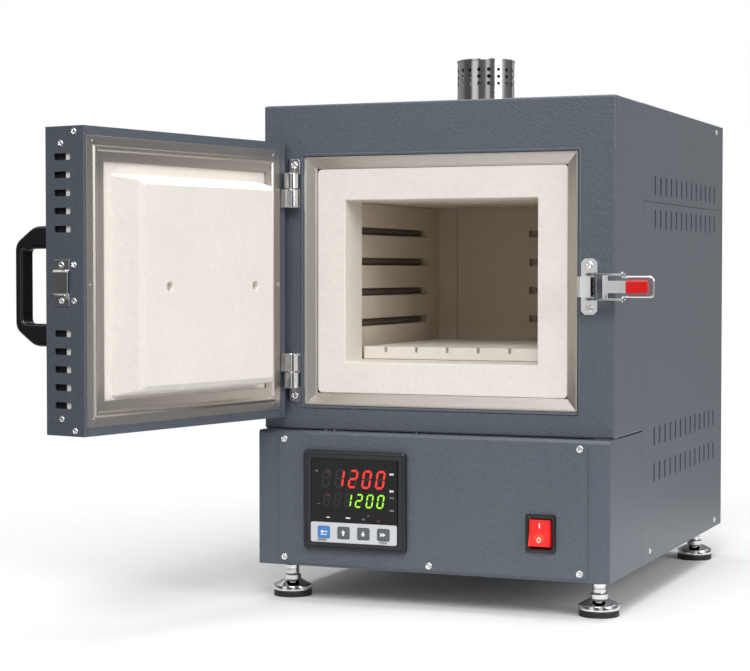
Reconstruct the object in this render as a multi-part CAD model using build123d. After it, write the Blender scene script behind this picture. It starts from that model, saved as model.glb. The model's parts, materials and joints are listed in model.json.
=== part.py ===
from build123d import *
import math
import os

# A bench-top muffle furnace: a sheet-steel cabinet on four levelling feet, a ceramic
# chamber behind a side-hinged door, and a control box below with a temperature
# controller and a lighted rocker switch. All sizes are millimetres.
# While it is modelled, X = 0 is the middle of the cabinet, Y = 0 the face of the upper
# front panel with +Y towards the back, and Z = 0 the floor. At the end the whole part
# moves so that its origin is the middle of its footprint. The door is drawn shut and
# then swung open about its hinge pins, which is how the furnace stands when loaded.

# Cabinet
CABINET_WIDTH = 356.0
CABINET_DEPTH = 459.0
CABINET_HEIGHT = 449.4
FOOT_HEIGHT = 35.6
CONTROL_HEIGHT = 131.6
CONTROL_PROUD = 14.5
CONTROL_BEVEL = 3.0
SHEET = 1.5
BEND_RADIUS = 2.0
SEAM = 0.4
FIT = 0.3
FRONT_WRAP = 102.0
COVER_SKIRT = 94.2
POST_SIZE = 18.0
BASE_SHEET = 2.0

# Louvres in the sides, measured from the underside of the cabinet
LOUVRE_COUNT = 13
LOUVRE_PITCH = 22.3
LOUVRE_FIRST = 149.0
LOUVRE_WIDTH = 5.6
LOUVRE_LENGTH = 19.5
COVER_LOUVRE_ROW = 371.4
PANEL_LOUVRE_ROWS = (87.4, 123.6, 338.4)
REAR_LOUVRE_COUNT = 7
REAR_LOUVRE_ROWS = (330.0, 360.0)

# Front opening, its steel trim and the ceramic collar in it
FRONT_BAND_LEFT = 42.3
FRONT_BAND_RIGHT = 35.3
FRONT_BAND_TOP = 50.6
FRONT_BAND_BOTTOM = 24.4
OPENING_X = (FRONT_BAND_LEFT - FRONT_BAND_RIGHT) / 2
TRIM_WIDTH = CABINET_WIDTH - FRONT_BAND_LEFT - FRONT_BAND_RIGHT
TRIM_HEIGHT = CABINET_HEIGHT - CONTROL_HEIGHT - FRONT_BAND_TOP - FRONT_BAND_BOTTOM
OPENING_Z = FOOT_HEIGHT + CONTROL_HEIGHT + FRONT_BAND_BOTTOM + TRIM_HEIGHT / 2
TRIM_FACE = 12.1
TRIM_SHEET = 1.2
TRIM_LIP = 1.6
TRIM_FLANGE = 4.0
RIDGE_WIDTH = 3.0
RIDGE_HEIGHT = 1.2
COLLAR_WIDTH = TRIM_WIDTH - 2 * TRIM_FACE
COLLAR_HEIGHT = TRIM_HEIGHT - 2 * TRIM_FACE
COLLAR_BAND_SIDE = 29.2
COLLAR_BAND_END = 30.6
COLLAR_FACE = 6.5
COLLAR_BACK = 50.0
COLLAR_RADIUS = 4.0
MOUTH_WIDTH = COLLAR_WIDTH - 2 * COLLAR_BAND_SIDE
MOUTH_HEIGHT = COLLAR_HEIGHT - 2 * COLLAR_BAND_END
MOUTH_BEVEL = 1.0

# Heated chamber
CHAMBER_SETBACK = 10.6
CHAMBER_WIDTH = MOUTH_WIDTH + 2 * CHAMBER_SETBACK
CHAMBER_DEPTH = 248.6
CHAMBER_RISE = 1.0
BOARD = 30.0
FIBRE_SIDE = 13.5
FIBRE_BELOW = 17.3
FIBRE_ABOVE = 16.3
LINING_FRONT = 8.0
FIBRE_BACK = 37.4
CASING_SHEET = 1.2
GROOVE_HEIGHT = 7.6
GROOVE_DEPTH = 9.0
GROOVE_PITCH = 30.9
GROOVE_COUNT = 4
GROOVE_ABOVE_FLOOR = 35.4
GROOVE_END_MARGIN = 35.0
COIL_RADIUS = 3.2
COIL_END_GAP = 13.0
REAR_GROOVE_START = -3.5
BACK_JOINT = 21.0
BACK_JOINT_GROOVE = 1.2
HEARTH_GAP = 0.8
HEARTH_WIDTH = MOUTH_WIDTH - 2 * HEARTH_GAP
HEARTH_THICK = 12.4
HEARTH_SLOTS = 5
HEARTH_SLOT_PITCH = 32.3
HEARTH_SLOT_WIDTH = 2.6
HEARTH_SLOT_DEPTH = 5.5
THERMOCOUPLE_X = 62.0
THERMOCOUPLE_Z = 352.0
THERMOCOUPLE_RADIUS = 4.0
THERMOCOUPLE_REACH = 16.0
TERMINAL_X = 92.0
TERMINAL_RADIUS = 6.0
TERMINAL_TAIL = 18.0

# Flue
FLUE_Y = 152.0
FLUE_RADIUS = 13.0
FLUE_WALL = 2.5
CAP_RADIUS = 29.0
CAP_HEIGHT = 52.0
CAP_WALL = 1.2
CAP_LIP = 0.7
CAP_LIP_HEIGHT = 2.0
CAP_HOLE_RADIUS = 2.05
CAP_HOLE_COUNT = 18
CAP_HOLE_ROWS = (27.0, 34.0, 41.0)

# Control panel
PANEL_MARGIN_LEFT = 22.4
PANEL_MARGIN_RIGHT = 21.2
PANEL_WIDTH = CABINET_WIDTH - PANEL_MARGIN_LEFT - PANEL_MARGIN_RIGHT
PANEL_X = (PANEL_MARGIN_LEFT - PANEL_MARGIN_RIGHT) / 2
PANEL_LOW = FOOT_HEIGHT + 2.4
PANEL_HIGH = FOOT_HEIGHT + CONTROL_HEIGHT - 2.2
PANEL_SCREW_INSET = 5.8
PANEL_RADIUS = 4.0
PANEL_SHEET = 1.5
PANEL_LAP = 8.0
CONTROLLER_X = PANEL_X - PANEL_WIDTH / 2 + 81.7
CONTROLLER_Z = PANEL_HIGH - 63.6
BEZEL_WIDTH = 106.3
BEZEL_HEIGHT = 96.8
BEZEL_DEPTH = 5.5
BEZEL_RADIUS = 4.0
BEZEL_BEVEL = 1.0
FACE_WIDTH = 90.0
FACE_HEIGHT = 81.4
STRIP_HEIGHT = 20.0
STRIP_PROUD = 0.4
STRIP_SHEET = 1.2
WINDOW_THICK = 2.0
CASE_SIZE = 91.0
CASE_DEPTH = 75.0
KEY_WIDTH = 12.2
KEY_HEIGHT = 11.3
KEY_RADIUS = 1.5
KEY_PITCH = 20.7
KEY_PROUD = 0.7
KEY_TRAVEL = 0.8
KEY_THICK = 1.7
SWITCH_X = PANEL_X + PANEL_WIDTH / 2 - 44.4
SWITCH_Z = PANEL_LOW + 41.4
SWITCH_WIDTH = 29.3
SWITCH_HEIGHT = 35.8
SWITCH_PROUD = 2.5
SWITCH_DEPTH = 26.0
SWITCH_WELL = 9.0
ROCKER_WIDTH = 19.8
ROCKER_HEIGHT = 25.2
ROCKER_RISE = 2.8
ROCKER_WAIST = 1.2
ROCKER_TILT = 9.0
ROCKER_AXIS_DEPTH = 4.0
ROCKER_CLEARANCE = 0.5
TRUNNION_RADIUS = 1.6
TRUNNION_LENGTH = 1.6
TRUNNION_CLEARANCE = 0.06

# Inside the control box and on the rear panel
SINK_WIDTH = 80.0
SINK_DEPTH = 90.0
SINK_BASE = 6.0
SINK_HEIGHT = 40.0
SINK_FINS = 8
SINK_FIN = 2.0
RELAY_WIDTH = 45.0
RELAY_DEPTH = 58.0
RELAY_HEIGHT = 24.0
SINK_X = 60.0
SINK_Y = 240.0
INLET_X = -120.0
INLET_Z = 75.0
INLET_FLANGE = (50.0, 60.0)
INLET_BODY = (28.0, 48.0)
INLET_SOCKET = (25.0, 18.0)
INLET_SOCKET_DEPTH = 16.0
INLET_DEPTH = 32.0
INLET_PROUD = 2.5
FUSE_RADIUS = 5.5

# Levelling feet
FOOT_X = CABINET_WIDTH / 2 - 20.3
FOOT_FRONT_Y = 21.9
FOOT_REAR_Y = CABINET_DEPTH - 43.1
PAD_RADIUS = 19.0
PAD_HEIGHT = 6.0
PUCK_RADIUS = 19.4
PUCK_EDGE = 5.0
PUCK_CONE = 5.0
COLLAR_NECK_RADIUS = 8.3
COLLAR_NECK = 5.0
STUD_RADIUS = 5.0
SLEEVE_RADIUS = 6.3
FLANGE_RADIUS = 12.2
FLANGE_HEIGHT = 4.0
STUD_ABOVE = 14.0
THREAD_CLEARANCE = 0.08

# Hinges
HINGE_OFFSET = 9.3
HINGE_X = OPENING_X - TRIM_WIDTH / 2 - HINGE_OFFSET
HINGE_Y = -9.5
HINGE_RADIUS = 7.3
HINGE_REACH = 8.0
HINGE_PIN_RADIUS = 3.0
HINGE_PIN_CLEARANCE = 0.08
HINGE_BACKSET = 1.0
HINGE_LEAF = 1.5
HINGE_GAP = 0.8
KNUCKLE_FRAME = 15.2
KNUCKLE_DOOR = 17.6
HINGE_UPPER_INSET = 45.4
HINGE_LOWER_INSET = 44.4
HINGE_TAB = 14.0
DOOR_OPEN_ANGLE = 102.0

# Door
DOOR_LAP_SIDE = 9.6
DOOR_LAP_LOW = 11.6
DOOR_LAP_HIGH = 13.6
DOOR_WIDTH = TRIM_WIDTH + DOOR_LAP_SIDE
DOOR_HEIGHT = TRIM_HEIGHT + DOOR_LAP_LOW + DOOR_LAP_HIGH
DOOR_THICK = 45.0
DOOR_LOW = OPENING_Z - TRIM_HEIGHT / 2 - DOOR_LAP_LOW
DOOR_RIM_SIDE = 8.0
DOOR_RIM_END = 11.0
EDGE_SLOTS = 5
EDGE_SLOT_PITCH = 15.6
EDGE_SLOT_LENGTH = 19.0
EDGE_SLOT_HEIGHT = 5.8
EDGE_SLOT_GROUP = 76.4
EDGE_SLOT_INSET = 24.5
FRAME_INSET_HINGE = 9.0
FRAME_INSET_FREE = 3.6
FRAME_INSET_END = 8.0
FRAME_STRIP = 22.0
FRAME_FLAT = 0.4
FRAME_RIDGE = 1.6
SLAB_THICK = 20.0
PLUG_LAP_HINGE = 1.3
PLUG_LAP_FREE = 4.0
PLUG_LAP_LOW = 17.3
PLUG_LAP_HIGH = 12.3
PLUG_BEVEL = 4.3
PLUG_DRAFT = 4.5
PLUG_DRAFT_FREE = 12.4
PLUG_GAP = 0.4
PLUG_HOLE_SPACING = 123.5
PLUG_HOLE_SHIFT = -10.0
PLUG_HOLE_RADIUS = 4.2
PLUG_HOLE_DEPTH = 6.0
PLUG_HOLE_Z = OPENING_Z - 4.0
HANDLE_LENGTH = 106.0
HANDLE_Z = DOOR_LOW + DOOR_HEIGHT / 2 - 4.5
HANDLE_STANDOFF = 45.0
HANDLE_BAR = 10.0
HANDLE_WIDTH = 15.0
HANDLE_INSET = 15.5
HANDLE_LEG = 20.0
HANDLE_SHOULDER = 22.0
HANDLE_SLOPE = 15.0
STRIKE_Z = OPENING_Z - 0.2
STRIKE_LENGTH = 40.0
STRIKE_WIDTH = 18.3
STRIKE_INSET = 15.6
STRIKE_RISE = 3.4
STRIKE_BRIDGE = 20.5
STRIKE_SHEET = 1.2

# Latch on the cabinet
LATCH_OFFSET = 11.1
LATCH_X = OPENING_X + TRIM_WIDTH / 2 + LATCH_OFFSET
LATCH_Z = OPENING_Z - 4.5
LATCH_PLATE_WIDTH = 15.6
LATCH_PLATE_LENGTH = 52.0
LATCH_PLATE = 2.0
LATCH_SCREW_SPACING = 39.8
SADDLE_WIDTH = 14.4
SADDLE_LEFT = LATCH_X - SADDLE_WIDTH / 2
SADDLE_RIGHT = LATCH_X + SADDLE_WIDTH / 2
SADDLE_DEPTH = 23.0
SADDLE_WALL = 1.6
SADDLE_HALF = 9.4
LATCH_AXIS_X = LATCH_X + 2.7
LATCH_AXIS_Y = -12.5
LATCH_PIN_RADIUS = 1.8
LATCH_PIN_CLEARANCE = 0.08
RAIL_INNER_HALF = 10.4
RAIL_THICK = 2.0
RAIL_LENGTH = 33.5
RAIL_END_X = LATCH_AXIS_X + RAIL_LENGTH
RAIL_Y = -20.0
RAIL_HALF_WIDTH = 4.0
WEB_CLEARANCE = 1.2
WEB_THICK = 4.0
TONGUE_HALF = 5.6
TONGUE_END_X = RAIL_END_X + 8.0
GRIP_START_X = RAIL_END_X + 4.0
GRIP_LENGTH = 20.5
GRIP_END_X = GRIP_START_X + GRIP_LENGTH
GRIP_HALF = 6.1
BAIL_WIRE_RADIUS = 1.2
BAIL_HALF = 8.9
BAIL_LENGTH = 29.0
BAIL_END_X = RAIL_END_X + BAIL_LENGTH
BAIL_CORNERS = (1.4, 4.0, 4.0, 1.4)

# Screw heads, as radius and height
HEAD_LARGE = (3.6, 1.6)
HEAD_MEDIUM = (2.9, 1.3)
HEAD_FRAME = (2.1, 1.0)
HEAD_SMALL = (1.7, 0.8)

# Planes that the sizes above lead to
HALF_WIDTH = CABINET_WIDTH / 2
Z_BASE = FOOT_HEIGHT
Z_STEP = Z_BASE + CONTROL_HEIGHT
Z_TOP = Z_BASE + CABINET_HEIGHT
Z_SKIRT = Z_TOP - COVER_SKIRT
Y_CONTROL = -CONTROL_PROUD
Y_PANEL = Y_CONTROL - PANEL_SHEET
Y_BACK = CABINET_DEPTH
MOUTH_LOW = OPENING_Z - MOUTH_HEIGHT / 2
MOUTH_HIGH = OPENING_Z + MOUTH_HEIGHT / 2
CHAMBER_FLOOR = MOUTH_LOW + CHAMBER_RISE
CHAMBER_LEFT = OPENING_X - CHAMBER_WIDTH / 2
CHAMBER_RIGHT = OPENING_X + CHAMBER_WIDTH / 2
CHAMBER_BACK = COLLAR_BACK + CHAMBER_DEPTH
LINING_LEFT = CHAMBER_LEFT - BOARD - FIBRE_SIDE
LINING_RIGHT = CHAMBER_RIGHT + BOARD + FIBRE_SIDE
LINING_LOW = CHAMBER_FLOOR - BOARD - FIBRE_BELOW
LINING_HIGH = MOUTH_HIGH + BOARD + FIBRE_ABOVE
LINING_BACK = CHAMBER_BACK + BOARD + FIBRE_BACK
CASING_LOW = LINING_LOW - FIT - CASING_SHEET
CASING_BACK = LINING_BACK + FIT + CASING_SHEET
GROOVES = [CHAMBER_FLOOR + GROOVE_ABOVE_FLOOR + i * GROOVE_PITCH for i in range(GROOVE_COUNT)]
GROOVE_END = CHAMBER_BACK - GROOVE_END_MARGIN
DOOR_LEFT = HINGE_X - HINGE_BACKSET
DOOR_RIGHT = DOOR_LEFT + DOOR_WIDTH
DOOR_HIGH = DOOR_LOW + DOOR_HEIGHT
DOOR_MIDDLE = DOOR_LOW + DOOR_HEIGHT / 2
HINGE_UPPER_Z = DOOR_HIGH - HINGE_UPPER_INSET
HINGE_LOWER_Z = DOOR_LOW + HINGE_LOWER_INSET
DOOR_BACK = HINGE_Y - HINGE_REACH
DOOR_FRONT = DOOR_BACK - DOOR_THICK
SLAB_FACE = DOOR_BACK - SHEET - FIT
SLAB_BACK = SLAB_FACE - SLAB_THICK
BEZEL_FRONT = Y_PANEL - BEZEL_DEPTH
FACE_LOW = CONTROLLER_Z - FACE_HEIGHT / 2
CASE_FRONT = BEZEL_FRONT + WINDOW_THICK + 1.0
KEY_Z = FACE_LOW + STRIP_HEIGHT / 2
PLUG_WALL_LOW = MOUTH_LOW - PLUG_LAP_LOW
PLUG_WALL_HIGH = MOUTH_HIGH + PLUG_LAP_HIGH
FOOT_PLACES = {
    "front_left": (-FOOT_X, FOOT_FRONT_Y),
    "front_right": (FOOT_X, FOOT_FRONT_Y),
    "rear_left": (-FOOT_X, FOOT_REAR_Y),
    "rear_right": (FOOT_X, FOOT_REAR_Y),
}


def front_plane(y):
    """Plane that faces the viewer: sketch x is X, sketch y is Z."""
    return Plane(origin=(0, y, 0), x_dir=(1, 0, 0), z_dir=(0, -1, 0))


def side_plane(x):
    """Plane that faces +X: sketch x is Y, sketch y is Z."""
    return Plane(origin=(x, 0, 0), x_dir=(0, 1, 0), z_dir=(1, 0, 0))


def block(x, y, z):
    """Rectangular solid between the pairs x, y and z."""
    middle = Pos((x[0] + x[1]) / 2, (y[0] + y[1]) / 2, (z[0] + z[1]) / 2)
    return middle * Box(x[1] - x[0], y[1] - y[0], z[1] - z[0])


def area(a, b, radius=0.0):
    """Rectangle between the pairs a and b, with rounded corners if a radius is given."""
    width = a[1] - a[0]
    height = b[1] - b[0]
    shape = RectangleRounded(width, height, radius) if radius else Rectangle(width, height)
    return Pos((a[0] + a[1]) / 2, (b[0] + b[1]) / 2) * shape


def span(middle, size):
    """The pair of limits of a size about its middle."""
    return (middle - size / 2, middle + size / 2)


def grown(pair, margin):
    """The pair of limits moved outwards by a margin."""
    return (pair[0] - margin, pair[1] + margin)


def plate_y(sketch, y_front, y_back):
    """Sketch of X and Z made solid between two depths."""
    return extrude(front_plane(y_back) * sketch, amount=y_back - y_front)


def plate_x(sketch, x_low, x_high):
    """Sketch of Y and Z made solid between two widths."""
    return extrude(side_plane(x_low) * sketch, amount=x_high - x_low)


def plate_z(sketch, z_low, z_high):
    """Sketch of X and Y made solid between two heights."""
    return extrude(Plane.XY.offset(z_low) * sketch, amount=z_high - z_low)


def rod_y(x, z, radius, y_front, y_back):
    """Round bar along Y."""
    return plate_y(Pos(x, z) * Circle(radius), y_front, y_back)


def rod_z(x, y, radius, z_low, z_high):
    """Round bar along Z."""
    return plate_z(Pos(x, y) * Circle(radius), z_low, z_high)


def screw_head(point, outward, size):
    """Low round head that lies on the face at point."""
    radius, height = size
    head = Pos(0, 0, height / 2) * Cylinder(radius, height)
    head = chamfer(head.edges().group_by(Axis.Z)[-1], height * 0.45)
    return Plane(origin=point, z_dir=outward).location * head


def mitred_frame(x, z, profile):
    """A closed (inward, depth) profile carried round a rectangle with mitred corners."""
    middle = (x[0] + x[1]) / 2
    corners = [(middle, z[0]), (x[1], z[0]), (x[1], z[1]), (x[0], z[1]), (x[0], z[0])]
    path = Polyline(*[(cx, 0, cz) for cx, cz in corners], close=True)
    start = Plane(origin=(middle, 0, z[0]), x_dir=(0, 0, 1), z_dir=(1, 0, 0))
    section = make_face(Polyline(*[(inward, -depth) for inward, depth in profile], close=True))
    return sweep(start * section, path=path, transition=Transition.RIGHT)


TRIM_X = span(OPENING_X, TRIM_WIDTH)
TRIM_Z = span(OPENING_Z, TRIM_HEIGHT)
COLLAR_X = span(OPENING_X, COLLAR_WIDTH)
COLLAR_Z = span(OPENING_Z, COLLAR_HEIGHT)
MOUTH_X = span(OPENING_X, MOUTH_WIDTH)
MOUTH_Z = (MOUTH_LOW, MOUTH_HIGH)
PANEL_X_LIMITS = span(PANEL_X, PANEL_WIDTH)
PANEL_Z_LIMITS = (PANEL_LOW, PANEL_HIGH)
LATCH_SCREWS = span(LATCH_Z, LATCH_SCREW_SPACING)
HINGES = ((HINGE_UPPER_Z, 1), (HINGE_LOWER_Z, -1))


def front_shell():
    """Upper front panel with its side and top returns and the pressed ridge."""
    outline = area((-HALF_WIDTH, HALF_WIDTH), (0, FRONT_WRAP))
    outline = fillet(outline.vertices().group_by(Axis.Y)[0], BEND_RADIUS)
    inside = area((-HALF_WIDTH + SHEET, HALF_WIDTH - SHEET), (SHEET, FRONT_WRAP + 1))
    shell = plate_z(outline - inside, Z_STEP + SEAM, Z_TOP - SHEET)
    shell += plate_z(outline, Z_TOP - SHEET, Z_TOP)
    opening = area(TRIM_X, TRIM_Z)
    ridge = area(grown(TRIM_X, RIDGE_WIDTH), grown(TRIM_Z, RIDGE_WIDTH), RIDGE_WIDTH)
    shell += plate_y(ridge, -RIDGE_HEIGHT, SHEET)
    return shell - plate_y(opening, -RIDGE_HEIGHT - 1, SHEET + 1)


def control_housing():
    """Lower box that stands forward, with a bevelled top edge and an open front."""
    side = Polyline(
        (Y_CONTROL, Z_BASE),
        (Y_CONTROL, Z_STEP - CONTROL_BEVEL),
        (Y_CONTROL + CONTROL_BEVEL, Z_STEP),
        (FRONT_WRAP, Z_STEP),
        (FRONT_WRAP, Z_BASE),
        close=True,
    )
    body = plate_x(make_face(side), -HALF_WIDTH, HALF_WIDTH)
    front_edges = body.edges().filter_by(Axis.Z).group_by(Axis.Y)[0]
    body = fillet(front_edges, BEND_RADIUS)
    inner_x = (-HALF_WIDTH + SHEET, HALF_WIDTH - SHEET)
    inner_side = Polyline(
        (Y_CONTROL + SHEET, Z_BASE - 1),
        (Y_CONTROL + SHEET, Z_STEP - CONTROL_BEVEL - SHEET / 2),
        (Y_CONTROL + CONTROL_BEVEL + SHEET / 2, Z_STEP - SHEET),
        (FRONT_WRAP + 1, Z_STEP - SHEET),
        (FRONT_WRAP + 1, Z_BASE - 1),
        close=True,
    )
    body -= plate_x(make_face(inner_side), *inner_x)
    body -= block(inner_x, (SHEET + FIT, FRONT_WRAP + 1), (Z_STEP - 2 * SHEET, Z_STEP + 1))
    window = area(grown(PANEL_X_LIMITS, -PANEL_LAP), grown(PANEL_Z_LIMITS, -PANEL_LAP))
    return body - plate_y(window, Y_CONTROL - 1, Y_CONTROL + SHEET + 1)


def front_panel():
    """Removable panel with the controller and switch cut-outs."""
    sketch = area(PANEL_X_LIMITS, PANEL_Z_LIMITS, PANEL_RADIUS)
    sketch -= area(span(CONTROLLER_X, CASE_SIZE + 2 * FIT), span(CONTROLLER_Z, CASE_SIZE + 2 * FIT))
    sketch -= area(span(SWITCH_X, SWITCH_WIDTH - 4), span(SWITCH_Z, SWITCH_HEIGHT - 4))
    return plate_y(sketch, Y_PANEL, Y_CONTROL)


def louvre_row(z):
    """One row of upright round-ended slots, as a sketch of Y and Z."""
    reach = (LOUVRE_COUNT - 1) * LOUVRE_PITCH
    places = Pos(LOUVRE_FIRST + reach / 2, z) * GridLocations(LOUVRE_PITCH, 0, LOUVRE_COUNT, 1)
    slot = SlotOverall(LOUVRE_LENGTH, LOUVRE_WIDTH, rotation=90)
    return [place * slot for place in places]


def side_sheet(x_low, low, high, rows):
    """Upright sheet along one side behind the front shell, with louvres."""
    sketch = area((FRONT_WRAP + SEAM, Y_BACK - SHEET - SEAM), (low, high))
    for row in rows:
        sketch -= louvre_row(Z_BASE + row)
    return plate_x(sketch, x_low, x_low + SHEET)


def side_panels():
    """Left and right side panels."""
    panels = {}
    for name, x_low in (("left", -HALF_WIDTH), ("right", HALF_WIDTH - SHEET)):
        panels["side_panel_" + name] = side_sheet(x_low, Z_BASE, Z_SKIRT - SEAM, PANEL_LOUVRE_ROWS)
    return panels


def top_cover():
    """Cover folded down over both sides, with the upper row of louvres."""
    cover = block(
        (-HALF_WIDTH, HALF_WIDTH),
        (FRONT_WRAP + SEAM, Y_BACK - SHEET - SEAM),
        (Z_TOP - SHEET, Z_TOP),
    )
    for x_low in (-HALF_WIDTH, HALF_WIDTH - SHEET):
        cover += side_sheet(x_low, Z_SKIRT, Z_TOP - SHEET, (COVER_LOUVRE_ROW,))
    folds = cover.edges().filter_by(Axis.Y).group_by(Axis.Z)[-1]
    cover = fillet(folds, SHEET * 0.9)
    return cover - rod_z(0, FLUE_Y, FLUE_RADIUS + FIT, Z_TOP - SHEET - 1, Z_TOP + 1)


def rear_panel():
    """Back sheet with two rows of slots and the mains inlet cut-out."""
    sketch = area((-HALF_WIDTH, HALF_WIDTH), (Z_BASE, Z_TOP))
    slot = SlotOverall(LOUVRE_LENGTH, LOUVRE_WIDTH, rotation=90)
    for row in REAR_LOUVRE_ROWS:
        places = Pos(0, Z_BASE + row) * GridLocations(LOUVRE_PITCH, 0, REAR_LOUVRE_COUNT, 1)
        sketch -= [place * slot for place in places]
    sketch -= area(span(INLET_X, INLET_BODY[0] + 2 * FIT), span(INLET_Z, INLET_BODY[1] + 2 * FIT))
    return plate_y(sketch, Y_BACK - SHEET, Y_BACK)


def base_plate():
    """Floor of the cabinet with the four threaded foot flanges welded under it."""
    x = (-HALF_WIDTH + SHEET + FIT, HALF_WIDTH - SHEET - FIT)
    y = (Y_CONTROL + SHEET + FIT, Y_BACK - SHEET - FIT)
    plate = block(x, y, (Z_BASE, Z_BASE + BASE_SHEET))
    for foot_x, foot_y in FOOT_PLACES.values():
        flange = rod_z(foot_x, foot_y, FLANGE_RADIUS, Z_BASE - FLANGE_HEIGHT, Z_BASE)
        rim = flange.edges().group_by(Axis.Z)[0]
        plate += chamfer(rim, 1.0)
    bore = STUD_RADIUS + THREAD_CLEARANCE
    for foot_x, foot_y in FOOT_PLACES.values():
        plate -= rod_z(foot_x, foot_y, bore, Z_BASE - FLANGE_HEIGHT - 1, Z_BASE + BASE_SHEET + 1)
    return plate


def inner_frame():
    """Four angle posts joined by the deck that carries the hot box."""
    reach_x = HALF_WIDTH - SHEET - FIT
    front = SHEET + FIT
    rear = Y_BACK - SHEET - FIT
    top = Z_TOP - SHEET - FIT
    deck = (CASING_LOW - SHEET, CASING_LOW)
    frame = block((-reach_x, reach_x), (front, rear), deck)
    for side in (-1, 1):
        x = sorted((side * reach_x, side * (reach_x - POST_SIZE)))
        web_x = sorted((side * reach_x, side * (reach_x - SHEET)))
        for y, web_y in (
            ((front, front + POST_SIZE), (front, front + SHEET)),
            ((rear - POST_SIZE, rear), (rear - SHEET, rear)),
        ):
            frame += block(x, web_y, (Z_BASE + BASE_SHEET, top))
            frame += block(web_x, y, (Z_BASE + BASE_SHEET, top))
    studs = [place for place in FOOT_PLACES.values()]
    for foot_x, foot_y in studs:
        frame -= rod_z(foot_x, foot_y, STUD_RADIUS + 2, Z_BASE, Z_BASE + STUD_ABOVE + 3)
    return frame


def opening_trim():
    """Mitred steel funnel from the front panel down to the ceramic collar."""
    drop = (TRIM_WIDTH - COLLAR_WIDTH) / 2 - FIT
    depth = COLLAR_FACE + 1.0
    profile = [
        (0.0, -TRIM_SHEET / 2),
        (TRIM_LIP, -TRIM_SHEET / 2),
        (drop, COLLAR_FACE - 0.5),
        (drop, depth + TRIM_SHEET),
        (drop - TRIM_SHEET, depth + TRIM_SHEET),
        (drop - TRIM_SHEET, depth - 0.6),
        (TRIM_LIP, SHEET),
        (0.0, SHEET),
    ]
    trim = mitred_frame(grown(TRIM_X, -FIT), grown(TRIM_Z, -FIT), profile)
    lap = area(grown(TRIM_X, TRIM_FLANGE), grown(TRIM_Z, TRIM_FLANGE))
    lap -= area(grown(TRIM_X, -TRIM_LIP), grown(TRIM_Z, -TRIM_LIP))
    return trim + plate_y(lap, SHEET, SHEET + TRIM_SHEET)


def mouth_block():
    """Ceramic collar round the chamber mouth."""
    outer = area(COLLAR_X, COLLAR_Z, COLLAR_RADIUS)
    collar = plate_y(outer, COLLAR_FACE, COLLAR_BACK)
    collar -= plate_y(area(MOUTH_X, MOUTH_Z), COLLAR_FACE - 1, COLLAR_BACK + 1)
    rim = collar.edges().group_by(Axis.Y)[0]
    mouth_rim = [e for e in rim if COLLAR_X[0] + 9 < e.center().X < COLLAR_X[1] - 9
                 and COLLAR_Z[0] + 9 < e.center().Z < COLLAR_Z[1] - 9]
    return chamfer(mouth_rim, MOUTH_BEVEL)


def chamber_wall(side):
    """Side board with four coil grooves open to the chamber."""
    inner = CHAMBER_LEFT if side < 0 else CHAMBER_RIGHT
    x = sorted((inner, inner + side * BOARD))
    wall = block(x, (COLLAR_BACK + FIT, CHAMBER_BACK - FIT), (CHAMBER_FLOOR + FIT, MOUTH_HIGH - FIT))
    cut_x = sorted((inner - side, inner + side * GROOVE_DEPTH))
    for z in GROOVES:
        wall -= block(cut_x, (COLLAR_BACK, GROOVE_END), span(z, GROOVE_HEIGHT))
    return wall


def board_limits():
    """X limits of the roof, floor and back boards."""
    return (CHAMBER_LEFT - BOARD, CHAMBER_RIGHT + BOARD)


def chamber_roof():
    """Roof board with the flue hole."""
    y = (COLLAR_BACK + FIT, CHAMBER_BACK - FIT)
    roof = block(board_limits(), y, (MOUTH_HIGH, MOUTH_HIGH + BOARD))
    return roof - rod_z(0, FLUE_Y, FLUE_RADIUS + FIT, MOUTH_HIGH - 1, MOUTH_HIGH + BOARD + 1)


def chamber_floor():
    """Floor board under the hearth plate."""
    y = (COLLAR_BACK + FIT, CHAMBER_BACK - FIT)
    return block(board_limits(), y, (CHAMBER_FLOOR - BOARD, CHAMBER_FLOOR))


def chamber_back():
    """Back board with a joint line, four coil pockets and bores for leads."""
    z = (CHAMBER_FLOOR - BOARD, MOUTH_HIGH + BOARD)
    back = block(board_limits(), (CHAMBER_BACK, CHAMBER_BACK + BOARD), z)
    joint = CHAMBER_LEFT + BACK_JOINT
    back -= block(
        (joint, joint + BACK_JOINT_GROOVE),
        (CHAMBER_BACK - 1, CHAMBER_BACK + 2),
        (CHAMBER_FLOOR, MOUTH_HIGH),
    )
    pocket_x = (OPENING_X + REAR_GROOVE_START, CHAMBER_RIGHT - COIL_END_GAP)
    for z_groove in GROOVES:
        pocket_y = (CHAMBER_BACK - 1, CHAMBER_BACK + GROOVE_DEPTH)
        back -= block(pocket_x, pocket_y, span(z_groove, GROOVE_HEIGHT))
    return back - lead_bores()


def lead_bores():
    """Clearance bores for the thermocouple and the two element terminals."""
    y = (CHAMBER_BACK - 1, CASING_BACK + 1)
    bores = rod_y(THERMOCOUPLE_X, THERMOCOUPLE_Z, THERMOCOUPLE_RADIUS + FIT, *y)
    for z in (GROOVES[0], GROOVES[-1]):
        bores += rod_y(TERMINAL_X, z, TERMINAL_RADIUS + FIT, *y)
    return bores


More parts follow.
